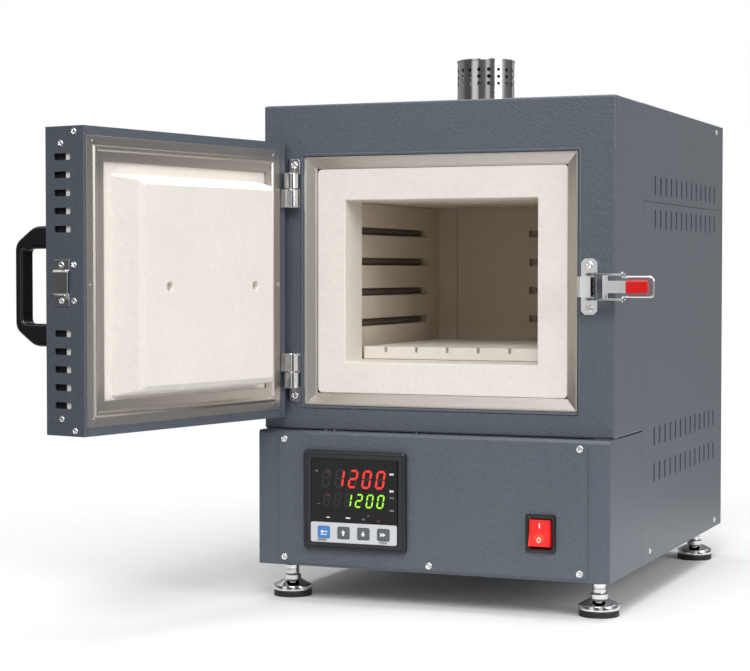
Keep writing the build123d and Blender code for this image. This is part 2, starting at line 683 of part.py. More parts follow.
def fibre_lining():
    """Fibre blanket round the boards and the collar."""
    lining = block(
        (LINING_LEFT, LINING_RIGHT), (LINING_FRONT, LINING_BACK), (LINING_LOW, LINING_HIGH)
    )
    lining -= plate_y(
        area(grown(COLLAR_X, 2 * FIT + TRIM_SHEET), grown(COLLAR_Z, 2 * FIT + TRIM_SHEET)),
        LINING_FRONT - 1,
        COLLAR_BACK + FIT,
    )
    board_z = (CHAMBER_FLOOR - BOARD, MOUTH_HIGH + BOARD)
    core = area(grown(board_limits(), FIT), grown(board_z, FIT))
    lining -= plate_y(core, COLLAR_BACK, CHAMBER_BACK + BOARD + FIT)
    flue = rod_z(0, FLUE_Y, FLUE_RADIUS + FIT, MOUTH_HIGH, LINING_HIGH + 1)
    return lining - flue - lead_bores()


def inner_casing():
    """Thin steel box that holds the lining, open at the front."""
    gap = FIT + CASING_SHEET
    x = grown((LINING_LEFT, LINING_RIGHT), gap)
    z = grown((LINING_LOW, LINING_HIGH), gap)
    casing = block(x, (LINING_FRONT, CASING_BACK), z)
    casing -= block(
        grown(x, -CASING_SHEET), (LINING_FRONT - 1, CASING_BACK - CASING_SHEET), grown(z, -CASING_SHEET)
    )
    flue = rod_z(0, FLUE_Y, FLUE_RADIUS + FIT, LINING_HIGH - 1, z[1] + 1)
    return casing - flue - lead_bores()


def hearth_plate():
    """Loose hearth plate with front-to-back slots in its top."""
    low = CHAMBER_FLOOR + FIT
    high = low + HEARTH_THICK
    y = (COLLAR_BACK + 2, CHAMBER_BACK - 2)
    plate = block(span(OPENING_X, HEARTH_WIDTH), y, (low, high))
    for i in range(HEARTH_SLOTS):
        x = OPENING_X - 9.0 + (i - (HEARTH_SLOTS - 1) / 2) * HEARTH_SLOT_PITCH
        cut_y = (y[0] - 1, y[1] + 1)
        plate -= block(span(x, HEARTH_SLOT_WIDTH), cut_y, (high - HEARTH_SLOT_DEPTH, high + 1))
    return plate


def heating_coils():
    """Coil envelopes: four in each side wall and four in the back wall."""
    coils = []
    inset = GROOVE_DEPTH - FIT - COIL_RADIUS
    for z in GROOVES:
        for x in (CHAMBER_LEFT - inset, CHAMBER_RIGHT + inset):
            coils.append(rod_y(x, z, COIL_RADIUS, COLLAR_BACK + 2, GROOVE_END - COIL_END_GAP))
        start = OPENING_X + REAR_GROOVE_START + COIL_END_GAP / 2
        end = CHAMBER_RIGHT - 2 * COIL_END_GAP
        section = Pos(CHAMBER_BACK + inset, z) * Circle(COIL_RADIUS)
        coils.append(plate_x(section, start, end))
    return coils


def element_terminals():
    """Ceramic bushes that lead the element ends out through the back."""
    y = (CHAMBER_BACK + GROOVE_DEPTH + FIT, CASING_BACK + TERMINAL_TAIL)
    return [rod_y(TERMINAL_X, z, TERMINAL_RADIUS, *y) for z in (GROOVES[0], GROOVES[-1])]


def thermocouple():
    """Sheathed probe with its connection head behind the hot box."""
    x, z = THERMOCOUPLE_X, THERMOCOUPLE_Z
    probe = rod_y(x, z, THERMOCOUPLE_RADIUS, CHAMBER_BACK - THERMOCOUPLE_REACH, CASING_BACK + 2)
    tip = probe.edges().group_by(Axis.Y)[0]
    probe = fillet(tip, THERMOCOUPLE_RADIUS * 0.8)
    return probe + rod_y(x, z, 2.5 * THERMOCOUPLE_RADIUS, CASING_BACK + FIT, CASING_BACK + 20)


def flue_tube():
    """Ceramic tube from the chamber roof up into the cap."""
    height = (MOUTH_HIGH, Z_TOP + CAP_WALL)
    tube = rod_z(0, FLUE_Y, FLUE_RADIUS, *height)
    return tube - rod_z(0, FLUE_Y, FLUE_RADIUS - FLUE_WALL, height[0] - 1, height[1] + 1)


def flue_cap():
    """Perforated steel cap: closed lid, three rows of holes and a foot ring."""
    top = Z_TOP + CAP_HEIGHT
    cap = rod_z(0, FLUE_Y, CAP_RADIUS, Z_TOP, top)
    cap += rod_z(0, FLUE_Y, CAP_RADIUS + CAP_LIP, top - CAP_LIP_HEIGHT, top)
    cap -= rod_z(0, FLUE_Y, CAP_RADIUS - CAP_WALL, Z_TOP + CAP_WALL, top - CAP_WALL)
    cap -= rod_z(0, FLUE_Y, FLUE_RADIUS + FIT, Z_TOP - 1, Z_TOP + CAP_WALL + 1)
    drill = Rot(0, 90, 0) * Cylinder(CAP_HOLE_RADIUS, 2 * CAP_RADIUS + 10)
    for row in CAP_HOLE_ROWS:
        for i in range(CAP_HOLE_COUNT // 2):
            turn = Rot(0, 0, i * 360 / CAP_HOLE_COUNT)
            cap -= Pos(0, FLUE_Y, Z_TOP + row) * turn * drill
    return cap


def controller():
    """Temperature controller: bezel, case, window, key strip and four keys."""
    face_x = span(CONTROLLER_X, FACE_WIDTH)
    face_z = (FACE_LOW, FACE_LOW + FACE_HEIGHT)
    bezel_sketch = area(span(CONTROLLER_X, BEZEL_WIDTH), span(CONTROLLER_Z, BEZEL_HEIGHT), BEZEL_RADIUS)
    bezel = plate_y(bezel_sketch, BEZEL_FRONT, Y_PANEL)
    bezel = chamfer(bezel.edges().group_by(Axis.Y)[0], BEZEL_BEVEL)
    bezel -= plate_y(area(face_x, face_z), BEZEL_FRONT - 1, Y_PANEL + 1)

    size = CASE_SIZE
    case = plate_y(area(span(CONTROLLER_X, size), span(CONTROLLER_Z, size)), Y_PANEL, Y_PANEL + CASE_DEPTH)
    case += plate_y(area(grown(face_x, -FIT), grown(face_z, -FIT)), CASE_FRONT, Y_PANEL)

    strip_z = (FACE_LOW + FIT, FACE_LOW + STRIP_HEIGHT - FIT)
    window_z = (FACE_LOW + STRIP_HEIGHT, FACE_LOW + FACE_HEIGHT - FIT)
    window = plate_y(area(grown(face_x, -FIT), window_z), CASE_FRONT - WINDOW_THICK, CASE_FRONT)
    strip_front = BEZEL_FRONT - STRIP_PROUD
    strip = area(grown(face_x, -FIT), strip_z, KEY_RADIUS)
    parts = {}
    places = [CONTROLLER_X + (i - 1.5) * KEY_PITCH for i in range(4)]
    for name, x in zip(("set", "up", "down", "shift"), places):
        strip -= area(span(x, KEY_WIDTH + 2 * FIT), span(KEY_Z, KEY_HEIGHT + 2 * FIT), KEY_RADIUS)
        cap = area(span(x, KEY_WIDTH), span(KEY_Z, KEY_HEIGHT), KEY_RADIUS)
        key = plate_y(cap, strip_front - KEY_PROUD, strip_front - KEY_PROUD + KEY_THICK)
        parts["key_" + name] = chamfer(key.edges().group_by(Axis.Y)[0], KEY_PROUD / 2)
    parts["controller_bezel"] = bezel
    parts["controller_case"] = case
    parts["display_window"] = window
    parts["key_strip"] = plate_y(strip, strip_front, strip_front + STRIP_SHEET)
    return parts


def power_switch():
    """Rocker switch: housing with a well, and the tilted two-faced rocker."""
    front = Y_PANEL - SWITCH_PROUD
    housing = plate_y(
        area(span(SWITCH_X, SWITCH_WIDTH), span(SWITCH_Z, SWITCH_HEIGHT), 1.5), front, Y_PANEL
    )
    housing = chamfer(housing.edges().group_by(Axis.Y)[0], 0.8)
    body = area(
        span(SWITCH_X, SWITCH_WIDTH - 4 - 2 * FIT), span(SWITCH_Z, SWITCH_HEIGHT - 4 - 2 * FIT)
    )
    housing += plate_y(body, Y_PANEL, Y_PANEL + SWITCH_DEPTH)
    well_x = span(SWITCH_X, ROCKER_WIDTH + 2 * ROCKER_CLEARANCE)
    well_z = span(SWITCH_Z, ROCKER_HEIGHT + 4 * ROCKER_CLEARANCE)
    housing -= plate_y(area(well_x, well_z), front - 1, front + SWITCH_WELL)
    axis_y = rocker_axis()
    pivot = Pos(axis_y, SWITCH_Z)
    reach = ROCKER_WIDTH / 2 + TRUNNION_LENGTH
    bore = pivot * Circle(TRUNNION_RADIUS + TRUNNION_CLEARANCE)
    housing -= plate_x(bore, *span(SWITCH_X, 2 * (reach + FIT)))

    half = ROCKER_HEIGHT / 2
    outline = Polyline(
        (front + SWITCH_WELL / 2, -half * 0.8),
        (front - ROCKER_RISE, -half),
        (front - ROCKER_WAIST, 0.0),
        (front - ROCKER_RISE, half),
        (front + SWITCH_WELL / 2, half * 0.8),
        close=True,
    )
    rocker = plate_x(make_face(outline), *span(SWITCH_X, ROCKER_WIDTH))
    rocker += plate_x(Pos(axis_y, 0) * Circle(TRUNNION_RADIUS), *span(SWITCH_X, 2 * reach))
    tilt = Pos(0, axis_y, SWITCH_Z) * Rot(-ROCKER_TILT, 0, 0) * Pos(0, -axis_y, 0)
    return {"switch_housing": housing, "switch_rocker": tilt * rocker}


def rocker_axis():
    """Depth of the line that the rocker tips about."""
    return Y_PANEL - SWITCH_PROUD + ROCKER_AXIS_DEPTH


def relay_stack():
    """Solid state relay on its finned heat sink, on the cabinet floor."""
    floor = Z_BASE + BASE_SHEET
    y = span(SINK_Y, SINK_DEPTH)
    sink = block(span(SINK_X, SINK_WIDTH), y, (floor + SINK_HEIGHT, floor + SINK_HEIGHT + SINK_BASE))
    step = (SINK_WIDTH - SINK_FIN) / (SINK_FINS - 1)
    for i in range(SINK_FINS):
        x = SINK_X - SINK_WIDTH / 2 + i * step
        sink += block((x, x + SINK_FIN), y, (floor, floor + SINK_HEIGHT))
    seat = floor + SINK_HEIGHT + SINK_BASE
    relay = block(span(SINK_X, RELAY_WIDTH), span(SINK_Y, RELAY_DEPTH), (seat, seat + RELAY_HEIGHT))
    relay = chamfer(relay.edges().group_by(Axis.Z)[-1], 2.0)
    return {"heat_sink": sink, "solid_state_relay": relay}


def mains_inlet():
    """Recessed mains inlet with a fuse carrier above it, in the rear panel."""
    flange_x = span(INLET_X, INLET_FLANGE[0])
    flange_z = span(INLET_Z, INLET_FLANGE[1])
    inlet = plate_y(area(flange_x, flange_z, 5.0), Y_BACK, Y_BACK + INLET_PROUD)
    body = area(span(INLET_X, INLET_BODY[0]), span(INLET_Z, INLET_BODY[1]))
    inlet += plate_y(body, Y_BACK - INLET_DEPTH, Y_BACK)
    socket_z = INLET_Z - INLET_BODY[1] / 2 + INLET_SOCKET[1] / 2 + 4
    socket = area(span(INLET_X, INLET_SOCKET[0]), span(socket_z, INLET_SOCKET[1]))
    inlet -= plate_y(socket, Y_BACK + INLET_PROUD - INLET_SOCKET_DEPTH, Y_BACK + INLET_PROUD + 1)
    for offset in (-7.0, 0.0, 7.0):
        blade = block(
            span(INLET_X + offset, 2.0),
            (Y_BACK + INLET_PROUD - INLET_SOCKET_DEPTH - 1, Y_BACK - 2),
            span(socket_z, 6.0),
        )
        inlet += blade
    fuse_z = INLET_Z + INLET_BODY[1] / 4 + 2
    return inlet + rod_y(INLET_X, fuse_z, FUSE_RADIUS, Y_BACK, Y_BACK + INLET_PROUD + 4)


def foot(x, y):
    """Levelling foot: steel puck, cone, collar and threaded stud."""
    z0 = PAD_HEIGHT
    z1 = z0 + PUCK_EDGE
    z2 = z1 + PUCK_CONE
    z3 = z2 + COLLAR_NECK
    z4 = Z_BASE - FLANGE_HEIGHT - SEAM
    profile = Polyline(
        (0, z0), (PUCK_RADIUS, z0), (PUCK_RADIUS, z1), (COLLAR_NECK_RADIUS, z2),
        (COLLAR_NECK_RADIUS, z3), (SLEEVE_RADIUS, z3), (SLEEVE_RADIUS, z4),
        (STUD_RADIUS, z4), (STUD_RADIUS, Z_BASE + STUD_ABOVE), (0, Z_BASE + STUD_ABOVE),
        close=True,
    )
    return Pos(x, y, 0) * revolve(Plane.XZ * make_face(profile), axis=Axis.Z)


def feet():
    """The four feet and their rubber pads."""
    parts = {}
    for name, (x, y) in FOOT_PLACES.items():
        parts["foot_" + name] = foot(x, y)
        parts["pad_" + name] = rod_z(x, y, PAD_RADIUS, 0, PAD_HEIGHT)
    return parts


def hinge_frame_leaves():
    """Cabinet halves of both hinges: screw tab, knuckle and fixed pin."""
    leaves = []
    for split, up in HINGES:
        low, high = sorted((split + up * HINGE_GAP / 2, split + up * (HINGE_GAP / 2 + KNUCKLE_FRAME)))
        far = split - up * (HINGE_GAP / 2 + KNUCKLE_DOOR)
        tab = split + up * (HINGE_GAP / 2 + KNUCKLE_FRAME + HINGE_TAB)
        inner_edge = TRIM_X[0] - RIDGE_WIDTH - FIT
        leaf_x = (HINGE_X - HINGE_RADIUS, inner_edge)
        leaf = plate_y(area(leaf_x, sorted((far, tab)), 3.0), -HINGE_LEAF, 0)
        leaf += rod_z(HINGE_X, HINGE_Y, HINGE_RADIUS, low, high)
        leaf += block((HINGE_X, inner_edge), (HINGE_Y, 0), (low, high))
        pin = sorted((far + up * 1.0, split + up * HINGE_GAP))
        leaf += rod_z(HINGE_X, HINGE_Y, HINGE_PIN_RADIUS, *pin)
        leaves.append(leaf)
    return leaves


def hinge_door_leaves():
    """Door halves of both hinges: bored knuckle on an edge leaf."""
    leaves = []
    for split, up in HINGES:
        z = sorted((split - up * HINGE_GAP / 2, split - up * (HINGE_GAP / 2 + KNUCKLE_DOOR)))
        leaf = rod_z(HINGE_X, HINGE_Y, HINGE_RADIUS, *z)
        leaf += block((DOOR_LEFT - HINGE_LEAF, HINGE_X + HINGE_RADIUS), (DOOR_BACK, HINGE_Y), z)
        leaf += block((DOOR_LEFT - HINGE_LEAF, DOOR_LEFT), (DOOR_BACK - 20, DOOR_BACK), z)
        bore = HINGE_PIN_RADIUS + HINGE_PIN_CLEARANCE
        leaves.append(leaf - rod_z(HINGE_X, HINGE_Y, bore, z[0] - 1, z[1] + 1))
    return leaves


def door_tray():
    """Folded outer skin of the door with its rims and edge slots."""
    outline = area((DOOR_LEFT, DOOR_RIGHT), (DOOR_FRONT, DOOR_BACK))
    outline = fillet(outline.vertices().group_by(Axis.Y)[0], BEND_RADIUS)
    tray = plate_z(outline, DOOR_LOW, DOOR_HIGH)
    x = (DOOR_LEFT, DOOR_RIGHT)
    z = (DOOR_LOW, DOOR_HIGH)
    tray -= block(grown(x, -SHEET), (DOOR_FRONT + SHEET, DOOR_BACK - SHEET), grown(z, -SHEET))
    tray -= block(grown(x, -DOOR_RIM_SIDE), (DOOR_BACK - 2 * SHEET, DOOR_BACK + 1), grown(z, -DOOR_RIM_END))
    slot = Rectangle(EDGE_SLOT_LENGTH, EDGE_SLOT_HEIGHT)
    slot = fillet(slot.vertices(), 1.5)
    slots = []
    for group in (-1, 1):
        middle = Pos(DOOR_BACK - EDGE_SLOT_INSET, DOOR_MIDDLE + group * EDGE_SLOT_GROUP)
        places = middle * GridLocations(0, EDGE_SLOT_PITCH, 1, EDGE_SLOTS)
        slots += [place * slot for place in places]
    return tray - plate_x(Sketch() + slots, DOOR_RIGHT - SHEET - 1, DOOR_RIGHT + 1)


def door_inner_frame():
    """Mitred steel frame on the inner side of the door, with a raised ridge."""
    y = DOOR_BACK
    profile = [
        (0.0, y),
        (0.0, y + FRAME_FLAT),
        (8.0, y + FRAME_FLAT),
        (9.5, y + FRAME_RIDGE),
        (12.0, y + FRAME_RIDGE),
        (13.5, y + FRAME_FLAT),
        (FRAME_STRIP, y + FRAME_FLAT),
        (FRAME_STRIP, y),
    ]
    x = (DOOR_LEFT + FRAME_INSET_HINGE, DOOR_RIGHT - FRAME_INSET_FREE)
    z = (DOOR_LOW + FRAME_INSET_END, DOOR_HIGH - FRAME_INSET_END)
    return mitred_frame(x, z, profile)


def door_slab():
    """Ceramic board behind the steel frame."""
    gap = SHEET + FIT
    x = grown((DOOR_LEFT, DOOR_RIGHT), -gap)
    z = grown((DOOR_LOW, DOOR_HIGH), -gap)
    return block(x, (SLAB_BACK, SLAB_FACE), z)


def door_insulation():
    """Fibre board between the slab and the outer skin."""
    gap = SHEET + FIT
    x = grown((DOOR_LEFT, DOOR_RIGHT), -gap - BEND_RADIUS)
    z = grown((DOOR_LOW, DOOR_HIGH), -gap)
    return block(x, (DOOR_FRONT + gap, SLAB_BACK - FIT), z)


def door_plug():
    """Raised ceramic block that closes on the collar, with bevelled edges."""
    face_y = COLLAR_FACE - PLUG_GAP
    wall_y = face_y - PLUG_BEVEL
    hinge_wall = MOUTH_X[0] - PLUG_LAP_HINGE - PLUG_BEVEL
    free_foot = MOUTH_X[1] + PLUG_LAP_FREE
    wall_x = (hinge_wall, free_foot - PLUG_DRAFT_FREE)
    wall_z = (PLUG_WALL_LOW, PLUG_WALL_HIGH)
    foot_z = grown(wall_z, PLUG_DRAFT)
    sections = (
        (SLAB_FACE, (hinge_wall, free_foot), foot_z),
        (wall_y, wall_x, wall_z),
        (face_y, grown(wall_x, -PLUG_BEVEL), grown(wall_z, -PLUG_BEVEL)),
    )
    faces = [front_plane(y) * area(x, z) for y, x, z in sections]
    plug = loft([faces[0], faces[1]]) + loft([faces[1], faces[2]])
    for side in (-1, 1):
        x = OPENING_X + PLUG_HOLE_SHIFT + side * PLUG_HOLE_SPACING / 2
        plug -= rod_y(x, PLUG_HOLE_Z, PLUG_HOLE_RADIUS, face_y - PLUG_HOLE_DEPTH, face_y + 1)
    return plug


def door_handle():
    """Black bridge handle with sloping shoulders, on the outer skin."""
    y = DOOR_FRONT
    half = HANDLE_LENGTH / 2
    far = y - HANDLE_STANDOFF
    slope = half - HANDLE_SLOPE
    waist = half - HANDLE_LEG
    outline = make_face(Polyline(
        (y, HANDLE_Z - half),
        (y - HANDLE_SHOULDER, HANDLE_Z - half),
        (far, HANDLE_Z - slope),
        (far, HANDLE_Z + slope),
        (y - HANDLE_SHOULDER, HANDLE_Z + half),
        (y, HANDLE_Z + half),
        close=True,
    ))
    grip_space = area((far + HANDLE_BAR, y + 10), (HANDLE_Z - waist, HANDLE_Z + waist), 5.0)
    middle = DOOR_RIGHT - HANDLE_INSET
    handle = plate_x(outline - grip_space, *span(middle, HANDLE_WIDTH))
    long_edges = handle.edges().filter_by(Axis.X, reverse=True).filter_by(lambda e: e.center().Y < y - 1)
    return chamfer(long_edges, 1.5)


def door_strike():
    """Bridge-shaped keeper on the free edge of the door."""
    x = DOOR_RIGHT
    half = STRIKE_LENGTH / 2
    bridge = STRIKE_BRIDGE / 2
    rise = STRIKE_RISE
    outline = Polyline(
        (x, -half), (x + STRIKE_SHEET, -half), (x + STRIKE_SHEET, -bridge - 1),
        (x + rise, -bridge + 1), (x + rise, bridge - 1), (x + STRIKE_SHEET, bridge + 1),
        (x + STRIKE_SHEET, half), (x, half), (x, bridge),
        (x + rise - STRIKE_SHEET, bridge - 2), (x + rise - STRIKE_SHEET, -bridge + 2), (x, -bridge),
        close=True,
    )
    section = front_plane(DOOR_BACK - STRIKE_INSET) * Pos(0, STRIKE_Z) * make_face(outline)
    return extrude(section, amount=STRIKE_WIDTH)


def door_screws():
    """Screw heads on the door: rim, steel frame, free edge and keeper."""
    heads = []
    frame_face = DOOR_BACK + FRAME_FLAT
    inward = (0, 1, 0)
    edge = (1, 0, 0)
    for z in (DOOR_LOW + 4.0, DOOR_HIGH - 4.0):
        for x in (DOOR_LEFT + 7.0, DOOR_RIGHT - 5.0):
            heads.append(screw_head((x, DOOR_BACK, z), inward, HEAD_SMALL))
    for z in (DOOR_LOW + FRAME_INSET_END + 5.8, DOOR_HIGH - FRAME_INSET_END - 5.8):
        for x in (DOOR_LEFT + FRAME_INSET_HINGE + 9.0, DOOR_RIGHT - FRAME_INSET_FREE - 9.0):
            heads.append(screw_head((x, frame_face, z), inward, HEAD_FRAME))
    for x in (DOOR_LEFT + FRAME_INSET_HINGE + 3.5, DOOR_RIGHT - FRAME_INSET_FREE - 5.4):
        heads.append(screw_head((x, frame_face, DOOR_MIDDLE - 4.0), inward, HEAD_FRAME))
    for inset, offset in ((26.0, 119.3), (10.5, 129.0)):
        for side in (-1, 1):
            point = (DOOR_RIGHT, DOOR_BACK - inset, DOOR_MIDDLE + side * offset)
            heads.append(screw_head(point, edge, HEAD_MEDIUM))
    for side in (-1, 1):
        z = STRIKE_Z + side * (STRIKE_LENGTH / 2 - 4.4)
        strike_face = DOOR_RIGHT + STRIKE_SHEET
        heads.append(screw_head((strike_face, DOOR_BACK - STRIKE_INSET - 9.0, z), edge, HEAD_MEDIUM))
        heads.append(screw_head((DOOR_RIGHT, DOOR_BACK - 11.0, z), edge, HEAD_MEDIUM))
    return heads


def latch_base():
    """Latch plate with clipped corners, its saddle and the fixed pivot pin."""
    plate = area(span(LATCH_X, LATCH_PLATE_WIDTH), span(LATCH_Z, LATCH_PLATE_LENGTH))
    plate = chamfer(plate.vertices(), 3.5)
    base = plate_y(plate, -LATCH_PLATE, 0)
    z = (LATCH_Z - SADDLE_HALF, LATCH_Z + SADDLE_HALF)
    outline = area((SADDLE_LEFT, SADDLE_RIGHT), (-SADDLE_DEPTH, 0))
    outline = fillet(outline.vertices().group_by(Axis.Y)[0].sort_by(Axis.X)[0], 5.0)
    saddle = plate_z(outline, *z)
    hollow = area((SADDLE_LEFT + SADDLE_WALL, SADDLE_RIGHT + 1), (-SADDLE_DEPTH + SADDLE_WALL, -LATCH_PLATE))
    saddle -= plate_z(hollow, z[0] + SADDLE_WALL, z[1] - SADDLE_WALL)
    pin = (LATCH_Z - RAIL_INNER_HALF - RAIL_THICK - 0.8, LATCH_Z + RAIL_INNER_HALF + RAIL_THICK + 0.8)
    return base + saddle + rod_z(LATCH_AXIS_X, LATCH_AXIS_Y, LATCH_PIN_RADIUS, *pin)


def latch_lever():
    """Forked lever: two rails, a cross web and a central tongue."""
    rail = lever_outline()
    lever = None
    for side in (-1, 1):
        near = LATCH_Z + side * RAIL_INNER_HALF
        far = LATCH_Z + side * (RAIL_INNER_HALF + RAIL_THICK)
        piece = plate_z(rail, min(near, far), max(near, far))
        lever = piece if lever is None else lever + piece
    saddle_reach = math.hypot(LATCH_AXIS_X - SADDLE_LEFT, LATCH_AXIS_Y + SADDLE_DEPTH)
    web_start = LATCH_AXIS_X + saddle_reach + WEB_CLEARANCE
    web_x = (web_start, web_start + WEB_THICK)
    inner = (LATCH_Z - RAIL_INNER_HALF, LATCH_Z + RAIL_INNER_HALF)
    lever += block(web_x, (RAIL_Y - 2.5, RAIL_Y + 1.5), inner)
    tongue = area((web_x[0] + 1, TONGUE_END_X), (LATCH_Z - TONGUE_HALF, LATCH_Z + TONGUE_HALF))
    tongue = fillet(tongue.vertices().group_by(Axis.X)[-1], TONGUE_HALF * 0.8)
    lever += plate_y(tongue, RAIL_Y - 3.5, RAIL_Y + 1.0)
    bore = LATCH_PIN_RADIUS + LATCH_PIN_CLEARANCE
    eye = BAIL_WIRE_RADIUS + LATCH_PIN_CLEARANCE
    lever -= rod_z(LATCH_AXIS_X, LATCH_AXIS_Y, bore, LATCH_Z - 20, LATCH_Z + 20)
    return lever - rod_z(RAIL_END_X, RAIL_Y, eye, LATCH_Z - 20, LATCH_Z + 20)


def lever_outline():
    """Plan of one lever rail: two round ends joined by tangent sides."""
    run = Vector(RAIL_END_X - LATCH_AXIS_X, RAIL_Y - LATCH_AXIS_Y)
    middle = Vector(LATCH_AXIS_X, LATCH_AXIS_Y) + run * 0.5
    slot = SlotCenterToCenter(run.length, 2 * RAIL_HALF_WIDTH)
    angle = Vector(1, 0).get_signed_angle(run, Vector(0, 0, 1))
    return Pos(middle.X, middle.Y) * Rot(0, 0, angle) * slot


def latch_grip():
    """Plastic grip pushed over the end of the tongue."""
    sketch = area((GRIP_START_X, GRIP_END_X), (LATCH_Z - GRIP_HALF, LATCH_Z + GRIP_HALF), 1.8)
    grip = plate_y(sketch, RAIL_Y - 5.0, RAIL_Y + 3.0)
    tongue = area((GRIP_START_X - 1, TONGUE_END_X), span(LATCH_Z, 2 * TONGUE_HALF))
    return grip - plate_y(tongue, RAIL_Y - 3.5, RAIL_Y + 1.0)


def latch_bail():
    """Wire loop that hooks over the keeper, pivoted in the ends of the rails."""
    outer = LATCH_Z + RAIL_INNER_HALF + RAIL_THICK + 1.0
    inner = LATCH_Z - RAIL_INNER_HALF - RAIL_THICK - 1.0
    low = LATCH_Z - BAIL_HALF
    high = LATCH_Z + BAIL_HALF
    x = RAIL_END_X
    corners = [(x, inner), (x, low), (BAIL_END_X, low), (BAIL_END_X, high), (x, high), (x, outer)]
    path = FilletPolyline(*[(cx, RAIL_Y, cz) for cx, cz in corners], radius=BAIL_CORNERS)
    section = Plane(origin=(x, RAIL_Y, inner), z_dir=(0, 0, 1)) * Circle(BAIL_WIRE_RADIUS)
    return sweep(section, path=path)


def cabinet_screws():
    """Screw heads on the cabinet: control panel, hinges, latch, sides and rear."""
    heads = []
    front = (0, -1, 0)
    low_z, high_z = grown(PANEL_Z_LIMITS, -PANEL_SCREW_INSET)
    left_x, right_x = PANEL_X_LIMITS[0] + 6.1, PANEL_X_LIMITS[1] - 7.3
    places = [(x, z) for x in (left_x, right_x) for z in (low_z, high_z)]
    for x, z in places + [(PANEL_X + 0.6, low_z - 0.9)]:
        heads.append(screw_head((x, Y_PANEL, z), front, HEAD_LARGE))
    for split, up in HINGES:
        z = split + up * (HINGE_GAP / 2 + KNUCKLE_FRAME + HINGE_TAB / 2 + 1)
        heads.append(screw_head((HINGE_X, -HINGE_LEAF, z), front, HEAD_LARGE))
    for z in LATCH_SCREWS:
        heads.append(screw_head((LATCH_X, -LATCH_PLATE, z), front, HEAD_LARGE))
    for side in (-1, 1):
        for y, z in ((Y_BACK - 33.0, Z_TOP - 8.0), (Y_BACK - 34.4, Z_BASE + 7.9), (FRONT_WRAP + 31.0, Z_BASE + 11.4)):
            heads.append(screw_head((side * HALF_WIDTH, y, z), (side, 0, 0), HEAD_MEDIUM))
        for z in (Z_BASE + 12.0, Z_BASE + CABINET_HEIGHT / 2, Z_TOP - 12.0):
            heads.append(screw_head((side * (HALF_WIDTH - 12), Y_BACK, z), (0, 1, 0), HEAD_MEDIUM))
    return heads


def cabinet_parts():
    """Everything that stays with the cabinet."""
    parts = {
        "front_shell": front_shell(),
        "control_housing": control_housing(),
        "front_panel": front_panel(),
        "top_cover": top_cover(),
        "rear_panel": rear_panel(),
        "base_plate": base_plate(),
        "inner_frame": inner_frame(),
        "opening_trim": opening_trim(),
        "mouth_block": mouth_block(),
        "chamber_wall_left": chamber_wall(-1),
        "chamber_wall_right": chamber_wall(1),
        "chamber_roof": chamber_roof(),
        "chamber_floor": chamber_floor(),
        "chamber_back": chamber_back(),
        "fibre_lining": fibre_lining(),
        "inner_casing": inner_casing(),
        "hearth_plate": hearth_plate(),
        "heating_coils": heating_coils(),
        "element_terminals": element_terminals(),
        "thermocouple": thermocouple(),
        "flue_tube": flue_tube(),
        "flue_cap": flue_cap(),
        "mains_inlet": mains_inlet(),
        "hinge_frame_leaves": hinge_frame_leaves(),
        "latch_base": latch_base(),
        "latch_lever": latch_lever(),
        "latch_grip": latch_grip(),
        "latch_bail": latch_bail(),
        "cabinet_screws": cabinet_screws(),
    }
    parts.update(side_panels())
    parts.update(controller())
    parts.update(power_switch())
    parts.update(relay_stack())
    parts.update(feet())
    return parts


def door_parts():
    """Everything that swings with the door, drawn shut."""
    return {
        "hinge_door_leaves": hinge_door_leaves(),
        "door_tray": door_tray(),
        "door_inner_frame": door_inner_frame(),
        "door_slab": door_slab(),
        "door_insulation": door_insulation(),
        "door_plug": door_plug(),
        "door_handle": door_handle(),
        "door_strike": door_strike(),
        "door_screws": door_screws(),
    }


def as_compound(shape):
    """One compound from a solid or a list of solids."""
    solids = []
    for piece in shape if isinstance(shape, list) else [shape]:
        solids += piece.solids()
    return Compound(solids) if len(solids) > 1 else solids[0]


def assembled():
    """All parts by name with the door open, and the shift to the footprint's middle."""
    parts = {name: as_compound(shape) for name, shape in cabinet_parts().items()}
    hinge = Pos(HINGE_X, HINGE_Y, 0)
    swing = hinge * Rot(0, 0, -DOOR_OPEN_ANGLE) * hinge.inverse()
    for name, shape in door_parts().items():
        parts[name] = swing * as_compound(shape)
    boxes = [shape.bounding_box() for shape in parts.values()]
    middle_x = (min(b.min.X for b in boxes) + max(b.max.X for b in boxes)) / 2
    middle_y = (min(b.min.Y for b in boxes) + max(b.max.Y for b in boxes)) / 2
    shift = Pos(-middle_x, -middle_y, 0)
    return {name: shift * shape for name, shape in parts.items()}, shift


def main():
    """Write one STEP file for each part."""
    os.makedirs("parts", exist_ok=True)
    parts, shift = assembled()
    for name, shape in parts.items():
        export_step(shape, os.path.join("parts", name + ".step"))
    print("parts", len(parts), "shift", shift.position)


if __name__ == "__main__":
    main()
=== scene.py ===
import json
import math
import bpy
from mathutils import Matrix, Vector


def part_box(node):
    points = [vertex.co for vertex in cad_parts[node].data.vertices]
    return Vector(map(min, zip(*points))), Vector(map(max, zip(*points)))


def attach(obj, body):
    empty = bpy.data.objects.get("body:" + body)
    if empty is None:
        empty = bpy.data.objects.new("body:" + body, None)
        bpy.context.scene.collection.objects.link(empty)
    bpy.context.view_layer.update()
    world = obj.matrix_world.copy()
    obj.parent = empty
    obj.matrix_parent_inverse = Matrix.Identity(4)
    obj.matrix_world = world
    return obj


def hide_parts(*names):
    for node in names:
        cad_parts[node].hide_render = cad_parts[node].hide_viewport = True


bl_info = {
    "name": "Muffle furnace builder",
    "version": (1, 0, 0),
    "blender": (4, 5, 0),
    "location": "View3D > Sidebar > Furnace",
    "description": "Builds the pieces, finishes and studio of a bench-top muffle furnace round its solid frame",
    "category": "Object",
}

